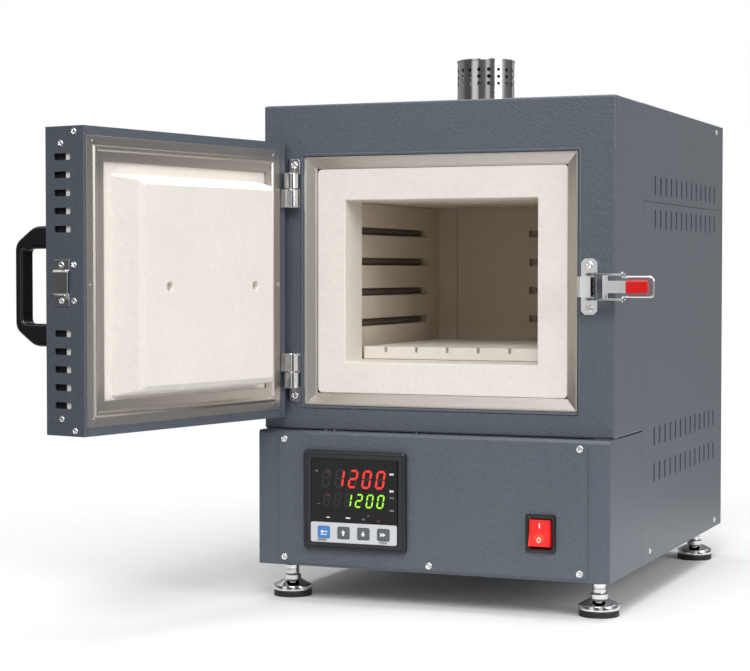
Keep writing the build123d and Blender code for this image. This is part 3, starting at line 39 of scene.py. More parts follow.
import bmesh
import bpy
import numpy as np
from bpy.props import FloatProperty, FloatVectorProperty, IntProperty, PointerProperty
from bpy.types import Operator, Panel, PropertyGroup
from mathutils import Matrix, Vector
from mathutils.geometry import tessellate_polygon

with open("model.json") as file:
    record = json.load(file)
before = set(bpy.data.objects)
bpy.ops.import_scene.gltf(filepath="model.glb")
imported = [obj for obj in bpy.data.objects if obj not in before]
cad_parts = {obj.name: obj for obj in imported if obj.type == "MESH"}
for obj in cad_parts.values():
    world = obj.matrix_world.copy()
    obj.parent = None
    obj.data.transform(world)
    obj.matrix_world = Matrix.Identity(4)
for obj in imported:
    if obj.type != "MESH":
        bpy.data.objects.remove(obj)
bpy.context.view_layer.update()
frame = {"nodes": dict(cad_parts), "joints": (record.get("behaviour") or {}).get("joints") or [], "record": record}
NODES = frame["nodes"]
BODIES = frame["record"]["behaviour"]["bodies"]
BODY_OF = {node: body for body, nodes in BODIES.items() for node in nodes}
JOINTS = {joint["name"]: joint for joint in frame["joints"]}

# Shapes are worked out in millimetres from the middle of the cabinet's width, the face
# of its upper front and the floor, with the door drawn shut.
MM = 0.001
WRAP = 102.0
TRIM_LAP = 4.0
SHELL_LOW, SHELL_HIGH = (np.array(corner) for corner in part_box("front_shell"))
ORIGIN = np.array([(SHELL_LOW[0] + SHELL_HIGH[0]) / 2, SHELL_HIGH[1] - WRAP * MM, 0.0])
HINGE = (np.array(JOINTS["door_hinge"]["pos_m"]) - ORIGIN) / MM
DOOR_TURN = math.radians(JOINTS["door_hinge"]["range_deg"][1])
FEET = ("front_left", "front_right", "rear_left", "rear_right")
KEYS = ("set", "up", "down", "shift")

# Shooting position, from the same origin
CAMERA_PLACE = (653.43, -1749.02, 323.69)
CAMERA_TURN = 22.20
CAMERA_TILT = -1.91
CAMERA_FOCUS = 93.96


class FurnaceColours(PropertyGroup):
    """Colours of the finishes."""

    paint: FloatVectorProperty(
        name="Cabinet paint", description="Slate powder coat of the sheet metal", subtype="COLOR",
        default=(0.082, 0.098, 0.122), min=0, max=1)
    ceramic: FloatVectorProperty(
        name="Ceramic board", description="Pale board of the chamber and the door", subtype="COLOR",
        default=(0.80, 0.755, 0.70), min=0, max=1)
    stainless: FloatVectorProperty(
        name="Stainless strip", description="Brushed steel round the opening and the door", subtype="COLOR",
        default=(0.52, 0.485, 0.45), min=0, max=1)
    bright: FloatVectorProperty(
        name="Bright steel", description="Polished hinges, latch, feet and screws", subtype="COLOR",
        default=(0.62, 0.60, 0.575), min=0, max=1)
    grip: FloatVectorProperty(
        name="Latch grip", description="Red plastic grip of the latch", subtype="COLOR",
        default=(0.62, 0.003, 0.004), min=0, max=1)
    set_key: FloatVectorProperty(
        name="Set key", description="Blue key of the controller", subtype="COLOR",
        default=(0.02, 0.235, 0.60), min=0, max=1)
    upper_digits: FloatVectorProperty(
        name="Upper digits", description="Lit digits of the measured temperature", subtype="COLOR",
        default=(1.0, 0.03, 0.015), min=0, max=1)
    lower_digits: FloatVectorProperty(
        name="Lower digits", description="Lit digits of the set temperature", subtype="COLOR",
        default=(0.42, 1.0, 0.03), min=0, max=1)


class FurnaceSizes(PropertyGroup):
    """Sizes of the finer forms that the solid frame leaves out."""

    fold: FloatProperty(
        name="Sheet fold", description="Outer radius of the folded cabinet edges", unit="LENGTH", default=0.0022)
    ridge: FloatProperty(
        name="Ridge height", description="How far the pressed ridge round the opening stands out",
        unit="LENGTH", default=0.0012)
    edge: FloatProperty(
        name="Sheet edge", description="Rounding of cut sheet edges", unit="LENGTH", default=0.0004)
    board_edge: FloatProperty(
        name="Board edge", description="Rounding of the ceramic boards", unit="LENGTH", default=0.0011)
    coil_wire: FloatProperty(
        name="Coil wire", description="Radius of the heating wire", unit="LENGTH", default=0.0007)
    coil_pitch: FloatProperty(
        name="Coil pitch", description="Distance between turns of the heating coils",
        unit="LENGTH", default=0.0026)
    handle_edge: FloatProperty(
        name="Handle edge", description="Rounding of the door handle", unit="LENGTH", default=0.0035)
    reading: IntProperty(
        name="Reading", description="Number shown by both rows of the display", default=1200, min=0, max=9999)


def sizes():
    """The size settings of this scene."""
    return bpy.context.scene.furnace_sizes


def colours():
    """The colour settings of this scene."""
    return bpy.context.scene.furnace_colours


def turned(points, centre, angle):
    """Points turned about an upright line through centre."""
    cosine, sine = math.cos(angle), math.sin(angle)
    x = points[..., 0] - centre[0]
    y = points[..., 1] - centre[1]
    return np.stack([centre[0] + cosine * x - sine * y, centre[1] + sine * x + cosine * y, points[..., 2]], -1)


def node_points(node):
    """A node's vertices in millimetres, with the door shut."""
    mesh = NODES[node].data
    flat = np.empty(len(mesh.vertices) * 3)
    mesh.vertices.foreach_get("co", flat)
    points = (flat.reshape(-1, 3) - ORIGIN) / MM
    return turned(points, HINGE, DOOR_TURN) if BODY_OF[node] == "door" else points


def limits(node):
    """Lowest and highest corners of a node in millimetres, with the door shut."""
    points = node_points(node)
    return points.min(axis=0), points.max(axis=0)


def separate_solids(node):
    """Lowest and highest corners of each separate solid in a node."""
    built = bmesh.new()
    built.from_mesh(NODES[node].data)
    bmesh.ops.remove_doubles(built, verts=built.verts, dist=1e-6)
    left = set(built.verts)
    boxes = []
    while left:
        edge_of = {next(iter(left))}
        group = set()
        while edge_of:
            group |= edge_of
            edge_of = {e.other_vert(v) for v in edge_of for e in v.link_edges} - group
        left -= group
        points = (np.array([v.co[:] for v in group]) - ORIGIN) / MM
        if BODY_OF[node] == "door":
            points = turned(points, HINGE, DOOR_TURN)
        boxes.append((points.min(axis=0), points.max(axis=0)))
    built.free()
    return sorted(boxes, key=lambda pair: tuple(np.round(pair[0], 1)))


class Surface:
    """Points in millimetres with faces and a lengthwise and crosswise place for grain."""

    def __init__(self, points, faces, grain=None):
        self.points = np.asarray(points, float).reshape(-1, 3)
        self.faces = faces
        self.grain = np.zeros((len(self.points), 2)) if grain is None else np.asarray(grain).reshape(-1, 2)

    def __add__(self, other):
        moved = [face + len(self.points) for face in other.faces]
        return Surface(
            np.concatenate([self.points, other.points]), self.faces + moved,
            np.concatenate([self.grain, other.grain]))

    def warped(self, change):
        """The same faces on points moved by a function of the point array."""
        return Surface(change(self.points), self.faces, self.grain)


def gathered(surfaces):
    """Several surfaces as one."""
    whole = surfaces[0]
    for surface in surfaces[1:]:
        whole = whole + surface
    return whole


def net(rows, columns, wrap_rows=False, wrap_columns=False):
    """Quads of a grid of points, wrapped round where asked."""
    row = np.arange(rows if wrap_rows else rows - 1)[:, None]
    column = np.arange(columns if wrap_columns else columns - 1)[None, :]
    next_row, next_column = (row + 1) % rows, (column + 1) % columns
    corners = [row * columns + column, row * columns + next_column,
               next_row * columns + next_column, next_row * columns + column]
    return np.stack(np.broadcast_arrays(*corners), -1).reshape(-1, 4)


def onto(across, up, depth, facing):
    """Flat coordinates put into space: front faces -Y, side faces X and top faces Z."""
    across, up, depth = np.broadcast_arrays(across, up, depth)
    order = {"front": (across, depth, up), "side": (depth, across, up), "top": (across, up, depth)}
    return np.stack(order[facing], -1)


def rectangle(x, z, radius=0.0, steps=5):
    """Rounded rectangle as a loop: four quarter circles c + r (cos a, sin a) joined by straight sides."""
    radius = max(radius, 0.01)
    angle = np.linspace(0, math.pi / 2, steps + 1)
    quarter = np.stack([np.cos(angle), np.sin(angle)], -1) * radius
    corners = []
    for turn, cx, cz in ((0, x[1], z[1]), (1, x[0], z[1]), (2, x[0], z[0]), (3, x[1], z[0])):
        cosine, sine = (1, 0, -1, 0)[turn], (0, 1, 0, -1)[turn]
        arc = quarter @ np.array([[cosine, sine], [-sine, cosine]])
        inner = (cx - radius * (1 if cx == x[1] else -1), cz - radius * (1 if cz == z[1] else -1))
        corners.append(arc + inner)
    return np.concatenate(corners)


def circle(x, z, radius, count=24):
    """Round loop x + r cos a, z + r sin a."""
    angle = np.linspace(0, 2 * math.pi, count, endpoint=False)
    return np.stack([x + radius * np.cos(angle), z + radius * np.sin(angle)], -1)


def softened(points, radius, steps=4):
    """Loop with rounded corners: each corner c becomes the curve (1-t)^2 a + 2t(1-t) c + t^2 b between points at the radius on its two sides."""
    points = np.asarray(points, float)
    radius = np.broadcast_to(np.asarray(radius, float), len(points))[:, None]
    before = np.roll(points, 1, axis=0) - points
    after = np.roll(points, -1, axis=0) - points
    room_before = np.linalg.norm(before, axis=1, keepdims=True)
    room_after = np.linalg.norm(after, axis=1, keepdims=True)
    start = points + before / room_before * np.minimum(radius, room_before * 0.49)
    end = points + after / room_after * np.minimum(radius, room_after * 0.49)
    t = np.linspace(0, 1, steps + 1)[None, :, None]
    curve = (1 - t) ** 2 * start[:, None] + 2 * t * (1 - t) * points[:, None] + t ** 2 * end[:, None]
    return curve.reshape(-1, 2)


def inset(loop, distances):
    """A loop moved to its left by each distance, with mitred corners: p + d (n1 + n2) / (1 + n1.n2)."""
    side = np.roll(loop, -1, axis=0) - loop
    side = side / np.maximum(np.linalg.norm(side, axis=1, keepdims=True), 1e-9)
    normal = np.stack([-side[:, 1], side[:, 0]], -1)
    previous = np.roll(normal, 1, axis=0)
    share = 1 + (normal * previous).sum(axis=1, keepdims=True)
    mitre = (normal + previous) / np.maximum(share, 0.4)
    return loop[None] + np.asarray(distances, float)[:, None, None] * mitre[None]


def filled(loops, starts):
    """Triangles that fill a loop with holes, as indices from each loop's first point."""
    flat = [[Vector((u, v, 0)) for u, v in loop] for loop in loops]
    index = np.concatenate([start + np.arange(len(loop)) for loop, start in zip(loops, starts)])
    return index[np.array(tessellate_polygon(flat))]


def plate(loops, near, far, edge=0.4, steps=2, facing="front"):
    """Flat plate with holes: each loop is carried from one face to the other along a quarter circle at both edges, inset e (1 - sin a) and depth e (1 - cos a), and both faces are filled. The outer loop runs anticlockwise and holes clockwise."""
    angle = np.linspace(0, math.pi / 2, steps + 1)
    moved, sunk = edge * (1 - np.sin(angle)), edge * (1 - np.cos(angle))
    moved = np.concatenate([moved, moved[::-1]])
    depth = np.concatenate([near + sunk, far - sunk[::-1]])
    points, faces, starts, first, last = [], [], [], [], []
    total = 0
    for loop in loops:
        rings = inset(np.asarray(loop, float), moved)
        count, around = rings.shape[:2]
        points.append(onto(rings[..., 0], rings[..., 1], depth[:, None], facing).reshape(-1, 3))
        faces.append(net(count, around, wrap_columns=True) + total)
        starts.append(total)
        first.append(rings[0])
        last.append(rings[-1])
        total += count * around
    ends = [start + (len(moved) - 1) * len(loop) for start, loop in zip(starts, loops)]
    faces += [filled(first, starts), filled(last, ends)]
    return Surface(np.concatenate(points), faces)


def hole(loop):
    """A loop turned clockwise, to cut a hole."""
    return loop[::-1]


def lathe(profile, centre, axis="Z", count=48):
    """Profile of (radius, height) turned round an axis through centre: (r cos a, r sin a, h)."""
    profile = np.asarray(profile, float)
    angle = np.linspace(0, 2 * math.pi, count, endpoint=False)
    across = profile[:, :1] * np.cos(angle)
    up = profile[:, :1] * np.sin(angle)
    along = profile[:, 1:] + 0 * angle
    order = {"Z": (across, up, along), "Y": (across, along, up), "X": (along, across, up)}
    points = np.stack(order[axis], -1) + np.asarray(centre, float)
    grain = np.stack(np.broadcast_arrays(angle * 10.0, profile[:, 1:]), -1)
    return Surface(points, [net(len(profile), count, wrap_columns=True)], grain)


def wire(path, radius, across, sides=12):
    """Round wire: a circle r (cos a n + sin a b) carried along a path that stays square to b, with rounded ends."""
    path = np.asarray(path, float)
    across = np.asarray(across, float)
    tangent = np.gradient(path, axis=0)
    tangent /= np.linalg.norm(tangent, axis=1, keepdims=True)
    ends = np.array([0.0, 0.7, 1.0])
    path = np.concatenate([path[:1]] * 3 + [path[1:-1]] + [path[-1:]] * 3)
    tangent = np.concatenate([tangent[:1]] * 3 + [tangent[1:-1]] + [tangent[-1:]] * 3)
    share = np.concatenate([ends, np.ones(len(path) - 6), ends[::-1]])
    push = np.zeros(len(path))
    push[:3] = -(1 - ends ** 2) ** 0.5 * radius
    push[-3:] = ((1 - ends ** 2) ** 0.5 * radius)[::-1]
    path = path + tangent * push[:, None]
    normal = np.cross(tangent, across)
    angle = np.linspace(0, 2 * math.pi, sides, endpoint=False)[None, :, None]
    ring = np.cos(angle) * normal[:, None] + np.sin(angle) * across
    points = path[:, None] + ring * (radius * share)[:, None, None]
    return Surface(points, [net(len(path), sides, wrap_columns=True)])


def helix(start, end, coil, radius, pitch, sides=6, per_turn=12):
    """Coiled wire: the line start + s t + R (cos w u + sin w v) carries a circle of the wire's radius."""
    start, end = np.asarray(start, float), np.asarray(end, float)
    length = np.linalg.norm(end - start)
    axis = (end - start) / length
    first = np.array([0.0, 0.0, 1.0])
    second = np.cross(axis, first)
    turns = length / pitch
    angle = np.linspace(0, 2 * math.pi * turns, int(turns * per_turn))[:, None]
    out = np.cos(angle) * first + np.sin(angle) * second
    tangent = (np.cos(angle) * second - np.sin(angle) * first) * coil + axis * pitch / (2 * math.pi)
    tangent /= np.linalg.norm(tangent, axis=1, keepdims=True)
    side = np.cross(tangent, out)
    path = start + axis * angle / (2 * math.pi) * pitch + out * coil
    around = np.linspace(0, 2 * math.pi, sides, endpoint=False)[None, :, None]
    share = np.ones(len(path))
    share[0] = share[-1] = 0.0
    ring = np.cos(around) * out[:, None] + np.sin(around) * side[:, None]
    points = path[:, None] + ring * (radius * share)[:, None, None]
    return Surface(points, [net(len(path), sides, wrap_columns=True)])


def mitred(x, z, profile, joint=0.15):
    """Four strips round a rectangle, cut at 45 degrees: the profile of (inward, depth) is carried between neighbouring corners, each moved inwards by its own distance."""
    inward, depth = np.asarray(profile, float).T
    corner = [
        np.stack([x[0] + inward, z[0] + inward], -1), np.stack([x[1] - inward, z[0] + inward], -1),
        np.stack([x[1] - inward, z[1] - inward], -1), np.stack([x[0] + inward, z[1] - inward], -1)]
    crosswise = np.concatenate([[0], np.cumsum(np.hypot(np.diff(inward), np.diff(depth)))])
    strips = []
    for side in range(4):
        step = np.array([(1, 0), (0, 1), (-1, 0), (0, -1)][side]) * joint / 2
        ends = np.stack([corner[side] + step, corner[(side + 1) % 4] - step])
        points = np.stack([ends[..., 0], np.broadcast_to(depth, ends.shape[:2]), ends[..., 1]], -1)
        lengthwise = (ends * np.abs(step) / (joint / 2)).sum(-1)
        grain = np.stack([lengthwise, np.broadcast_to(crosswise + side * 40.0, lengthwise.shape)], -1)
        count = len(inward)
        caps = [np.arange(count)[None], np.arange(count, 2 * count)[None]]
        strips.append(Surface(points, [net(2, count, wrap_columns=True)] + caps, grain))
    return gathered(strips)


def stacked(loops, depths, facing="front", close=True):
    """Rings of loops with equal point counts at given depths, joined in order; closed by flat faces."""
    count = len(loops[0])
    points = np.concatenate([onto(loop[:, 0], loop[:, 1], depth, facing) for loop, depth in zip(loops, depths)])
    faces = [net(len(loops), count, wrap_columns=True)]
    if close:
        faces += [filled([loops[0]], [0]), filled([loops[-1]], [(len(loops) - 1) * count])]
    return Surface(points, faces)


def ring_of(loops, depths, facing="front"):
    """Rings of loops joined in order and round again to the first, like a picture frame."""
    count = len(loops[0])
    points = np.concatenate([onto(loop[:, 0], loop[:, 1], depth, facing) for loop, depth in zip(loops, depths)])
    return Surface(points, [net(len(loops), count, wrap_rows=True, wrap_columns=True)])


def screw_head(low, high, turn):
    """Pan head with a cross recess: height h (1 - r^4)^0.5 less a dip where both coordinates are near a cross arm."""
    low, high = np.asarray(low), np.asarray(high)
    size = high - low
    thin = int(np.argmin(size))
    outward = -1.0 if thin == 1 and (low[1] < -10 or abs(high[1]) < 4) else 1.0
    if thin == 0:
        outward = 1.0 if low[0] > 0 else -1.0
    radius = np.delete(size, thin).max() / 2
    height = size[thin]
    base = (low + high) / 2
    base[thin] = low[thin] if outward > 0 else high[thin]
    share = np.linspace(0, 1, 15)[:, None]
    angle = np.linspace(0, 2 * math.pi, 40, endpoint=False)[None]
    across, up = share * radius * np.cos(angle), share * radius * np.sin(angle)
    dome = height * np.sqrt(np.clip(1 - share ** 4, 0, 1)) + 0 * angle
    spun_across = across * math.cos(turn) - up * math.sin(turn)
    spun_up = across * math.sin(turn) + up * math.cos(turn)
    arm = np.minimum(np.abs(spun_across), np.abs(spun_up)) / (radius * 0.17)
    reach = np.maximum(np.abs(spun_across), np.abs(spun_up)) / (radius * 0.66)
    dip = np.clip(1.6 - arm, 0, 1) * np.clip((1.15 - reach) * 4, 0, 1)
    dome = dome - dip * height * 0.62
    across, up = np.concatenate([across, across[-1:] * 0]), np.concatenate([up, up[-1:] * 0])
    dome = np.concatenate([dome, dome[-1:] * 0])
    order = {0: (dome * outward, across, up), 1: (across, dome * outward, up), 2: (across, up, dome * outward)}
    return Surface(np.stack(order[thin], -1) + base, [net(len(dome), angle.size, wrap_columns=True)])


def screws(node):
    """Cross-recessed heads in the places of a node's plain ones."""
    return gathered([
        screw_head(low, high, 0.9 * index + 0.35) for index, (low, high) in enumerate(separate_solids(node))])


def put(name, surface, finish, body="cabinet", stands_for=(), smooth=35.0, weighted=False):
    """A surface made into a closed object that rides on a body, in the row's frame."""
    points = surface.points
    if body == "door":
        points = turned(points, HINGE, -DOOR_TURN)
    points = points * MM + ORIGIN
    mesh = bpy.data.meshes.new(name)
    faces = [tuple(face) for group in surface.faces for face in group.tolist()]
    mesh.from_pydata(points.tolist(), [], faces)
    layer = mesh.uv_layers.new(name="grain")
    corner = np.empty(len(mesh.loops), dtype=np.int32)
    mesh.loops.foreach_get("vertex_index", corner)
    layer.data.foreach_set("uv", (surface.grain[corner] * MM).ravel())
    built = bmesh.new()
    built.from_mesh(mesh)
    bmesh.ops.remove_doubles(built, verts=built.verts, dist=2e-7)
    bmesh.ops.recalc_face_normals(built, faces=built.faces)
    built.to_mesh(mesh)
    built.free()
    return settled(name, mesh, finish, body, stands_for, smooth, weighted)


def settled(name, mesh, finish, body, stands_for, smooth, weighted):
    """An object from a finished mesh, with its shading, material, body and the nodes it stands for."""
    mesh.shade_smooth()
    mesh.set_sharp_from_angle(angle=math.radians(smooth))
    mesh.materials.clear()
    mesh.materials.append(material(finish))
    piece = bpy.data.objects.new(name, mesh)
    bpy.context.scene.collection.objects.link(piece)
    if weighted:
        piece.modifiers.new("Even shading", "WEIGHTED_NORMAL").keep_sharp = True
    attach(piece, body)
    if stands_for:
        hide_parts(*stands_for)
    return piece


def dressed(node, finish, width=0.4, segments=2, name=None):
    """A copy of a node's shape, merged, with flat faces joined and every sharp edge rounded."""
    name = name or node + "_dressed"
    mesh = NODES[node].data.copy()
    mesh.name = name
    built = bmesh.new()
    built.from_mesh(mesh)
    bmesh.ops.remove_doubles(built, verts=built.verts, dist=1e-6)
    bmesh.ops.dissolve_limit(built, angle_limit=math.radians(0.5), verts=built.verts, edges=built.edges)
    built.to_mesh(mesh)
    built.free()
    piece = settled(name, mesh, finish, BODY_OF[node], (node,), 35.0, False)
    bevel = piece.modifiers.new("Rounded edges", "BEVEL")
    bevel.width = width * MM
    bevel.segments = segments
    bevel.limit_method = "ANGLE"
    bevel.angle_limit = math.radians(35)
    bevel.harden_normals = True
    return piece


def paint_node(node, finish):
    """Gives a node that keeps its own shape its finish."""
    mesh = NODES[node].data
    mesh.materials.clear()
    mesh.materials.append(material(finish))


def wired(tree, kind, sockets=None, **settings):
    """A node with its settings, whose sockets are linked or given values."""
    made = tree.nodes.new(kind)
    for key, value in settings.items():
        setattr(made, key, value)
    for key, value in (sockets or {}).items():
        if isinstance(value, bpy.types.NodeSocket):
            tree.links.new(value, made.inputs[key])
        else:
            made.inputs[key].default_value = value
    return made


def effect_group(name, inputs, outputs, fill):
    """A node group with named sockets, built once."""
    if name in bpy.data.node_groups:
        return bpy.data.node_groups[name]
    tree = bpy.data.node_groups.new(name, "ShaderNodeTree")
    for label, kind, value in inputs:
        tree.interface.new_socket(label, in_out="INPUT", socket_type=kind).default_value = value
    for label, kind in outputs:
        tree.interface.new_socket(label, in_out="OUTPUT", socket_type=kind)
    given = tree.nodes.new("NodeGroupInput")
    results = fill(tree, given.outputs)
    out = tree.nodes.new("NodeGroupOutput")
    for label, socket in results.items():
        tree.links.new(socket, out.inputs[label])
    return tree


def math_node(tree, operation, *values):
    """Result of an arithmetic node."""
    made = tree.nodes.new("ShaderNodeMath")
    made.operation = operation
    for index, value in enumerate(values):
        if isinstance(value, bpy.types.NodeSocket):
            tree.links.new(value, made.inputs[index])
        else:
            made.inputs[index].default_value = value
    return made.outputs[0]


def shaded(tree, colour, factor):
    """A colour times a brightness factor."""
    scaled = tree.nodes.new("ShaderNodeVectorMath")
    scaled.operation = "SCALE"
    tree.links.new(colour, scaled.inputs[0])
    tree.links.new(factor, scaled.inputs["Scale"])
    return scaled.outputs[0]


def coat_grain():
    """Powder coat: fine orange peel for the bump, light flecks and a slow mottle for the colour."""
    def fill(tree, given):
        place = wired(tree, "ShaderNodeTexCoord").outputs["Object"]
        peel = wired(tree, "ShaderNodeTexNoise", {"Vector": place, "Scale": given["Scale"], "Detail": 3.0})
        finer = math_node(tree, "MULTIPLY", given["Scale"], 1.9)
        fleck = wired(tree, "ShaderNodeTexNoise", {"Vector": place, "Scale": finer, "Detail": 2.0})
        slow = wired(tree, "ShaderNodeTexNoise", {"Vector": place, "Scale": 7.0, "Detail": 3.0})
        fleck_part = math_node(tree, "MULTIPLY", math_node(tree, "SUBTRACT", fleck.outputs["Fac"], 0.5), given["Fleck"])
        slow_part = math_node(tree, "MULTIPLY", math_node(tree, "SUBTRACT", slow.outputs["Fac"], 0.5), given["Mottle"])
        factor = math_node(tree, "ADD", math_node(tree, "ADD", fleck_part, slow_part), 1.0)
        return {"Colour": shaded(tree, given["Colour"], factor), "Height": peel.outputs["Fac"]}
    inputs = [("Colour", "NodeSocketColor", (0.5, 0.5, 0.5, 1)), ("Scale", "NodeSocketFloat", 700.0),
              ("Fleck", "NodeSocketFloat", 0.5), ("Mottle", "NodeSocketFloat", 0.15)]
    return effect_group("Powder coat", inputs, [("Colour", "NodeSocketColor"), ("Height", "NodeSocketFloat")], fill)


def brushed_lines():
    """Brushed steel: noise drawn out along the grain map, for the colour, the roughness and the bump."""
    def fill(tree, given):
        place = wired(tree, "ShaderNodeUVMap", uv_map="grain").outputs[0]
        stretch = wired(tree, "ShaderNodeMapping", {"Vector": place, "Scale": (14.0, 2600.0, 1.0)})
        lines = wired(tree, "ShaderNodeTexNoise", {"Vector": stretch.outputs[0], "Scale": 1.0, "Detail": 3.0})
        wide = wired(tree, "ShaderNodeMapping", {"Vector": place, "Scale": (5.0, 420.0, 1.0)})
        bands = wired(tree, "ShaderNodeTexNoise", {"Vector": wide.outputs[0], "Scale": 1.0, "Detail": 2.0})
        both = math_node(tree, "ADD", math_node(tree, "MULTIPLY", lines.outputs["Fac"], 0.6),
                         math_node(tree, "MULTIPLY", bands.outputs["Fac"], 0.4))
        swing = math_node(tree, "MULTIPLY", math_node(tree, "SUBTRACT", both, 0.5), given["Contrast"])
        rough = math_node(tree, "ADD", given["Roughness"], math_node(tree, "MULTIPLY", swing, 0.35))
        factor = math_node(tree, "ADD", swing, 1.0)
        return {"Colour": shaded(tree, given["Colour"], factor), "Roughness": rough, "Height": lines.outputs["Fac"]}
    inputs = [("Colour", "NodeSocketColor", (0.5, 0.5, 0.5, 1)), ("Contrast", "NodeSocketFloat", 0.6),
              ("Roughness", "NodeSocketFloat", 0.3)]
    outputs = [("Colour", "NodeSocketColor"), ("Roughness", "NodeSocketFloat"), ("Height", "NodeSocketFloat")]
    return effect_group("Brushed lines", inputs, outputs, fill)


def board_speckle():
    """Fired board: soft lumps and grit for the bump, slow tone and sparse dark specks for the colour."""
    def fill(tree, given):
        place = wired(tree, "ShaderNodeTexCoord").outputs["Object"]
        lumps = wired(tree, "ShaderNodeTexNoise", {"Vector": place, "Scale": 190.0, "Detail": 5.0})
        grit = wired(tree, "ShaderNodeTexNoise", {"Vector": place, "Scale": 1300.0, "Detail": 2.0})
        slow = wired(tree, "ShaderNodeTexNoise", {"Vector": place, "Scale": 16.0, "Detail": 4.0})
        cells = wired(tree, "ShaderNodeTexVoronoi", {"Vector": place, "Scale": 330.0, "Randomness": 1.0})
        speck = math_node(tree, "LESS_THAN", cells.outputs["Distance"], 0.13)
        speck = math_node(tree, "MULTIPLY", speck, given["Specks"])
        tone = math_node(tree, "MULTIPLY", math_node(tree, "SUBTRACT", slow.outputs["Fac"], 0.5), 0.10)
        fine = math_node(tree, "MULTIPLY", math_node(tree, "SUBTRACT", lumps.outputs["Fac"], 0.5), 0.12)
        factor = math_node(tree, "SUBTRACT", math_node(tree, "ADD", math_node(tree, "ADD", tone, fine), 1.0), speck)
        height = math_node(tree, "ADD", math_node(tree, "MULTIPLY", lumps.outputs["Fac"], 0.7),
                           math_node(tree, "MULTIPLY", grit.outputs["Fac"], 0.3))
        return {"Colour": shaded(tree, given["Colour"], factor), "Height": height}
    inputs = [("Colour", "NodeSocketColor", (0.8, 0.75, 0.7, 1)), ("Specks", "NodeSocketFloat", 0.15)]
    return effect_group("Board speckle", inputs, [("Colour", "NodeSocketColor"), ("Height", "NodeSocketFloat")], fill)


def handling_marks():
    """Smudges from handling: slow noise that lifts the roughness of smooth plastic and polished metal."""
    def fill(tree, given):
        place = wired(tree, "ShaderNodeTexCoord").outputs["Object"]
        cloud = wired(tree, "ShaderNodeTexNoise", {"Vector": place, "Scale": given["Scale"], "Detail": 4.0})
        lift = math_node(tree, "MULTIPLY", math_node(tree, "SUBTRACT", cloud.outputs["Fac"], 0.45), given["Amount"])
        factor = math_node(tree, "ADD", math_node(tree, "MULTIPLY", lift, 0.5), 1.0)
        return {"Roughness": math_node(tree, "ADD", given["Roughness"], lift),
                "Colour": shaded(tree, given["Colour"], factor), "Height": cloud.outputs["Fac"]}
    inputs = [("Colour", "NodeSocketColor", (0.5, 0.5, 0.5, 1)), ("Roughness", "NodeSocketFloat", 0.2),
              ("Amount", "NodeSocketFloat", 0.2), ("Scale", "NodeSocketFloat", 60.0)]
    outputs = [("Colour", "NodeSocketColor"), ("Roughness", "NodeSocketFloat"), ("Height", "NodeSocketFloat")]
    return effect_group("Handling marks", inputs, outputs, fill)


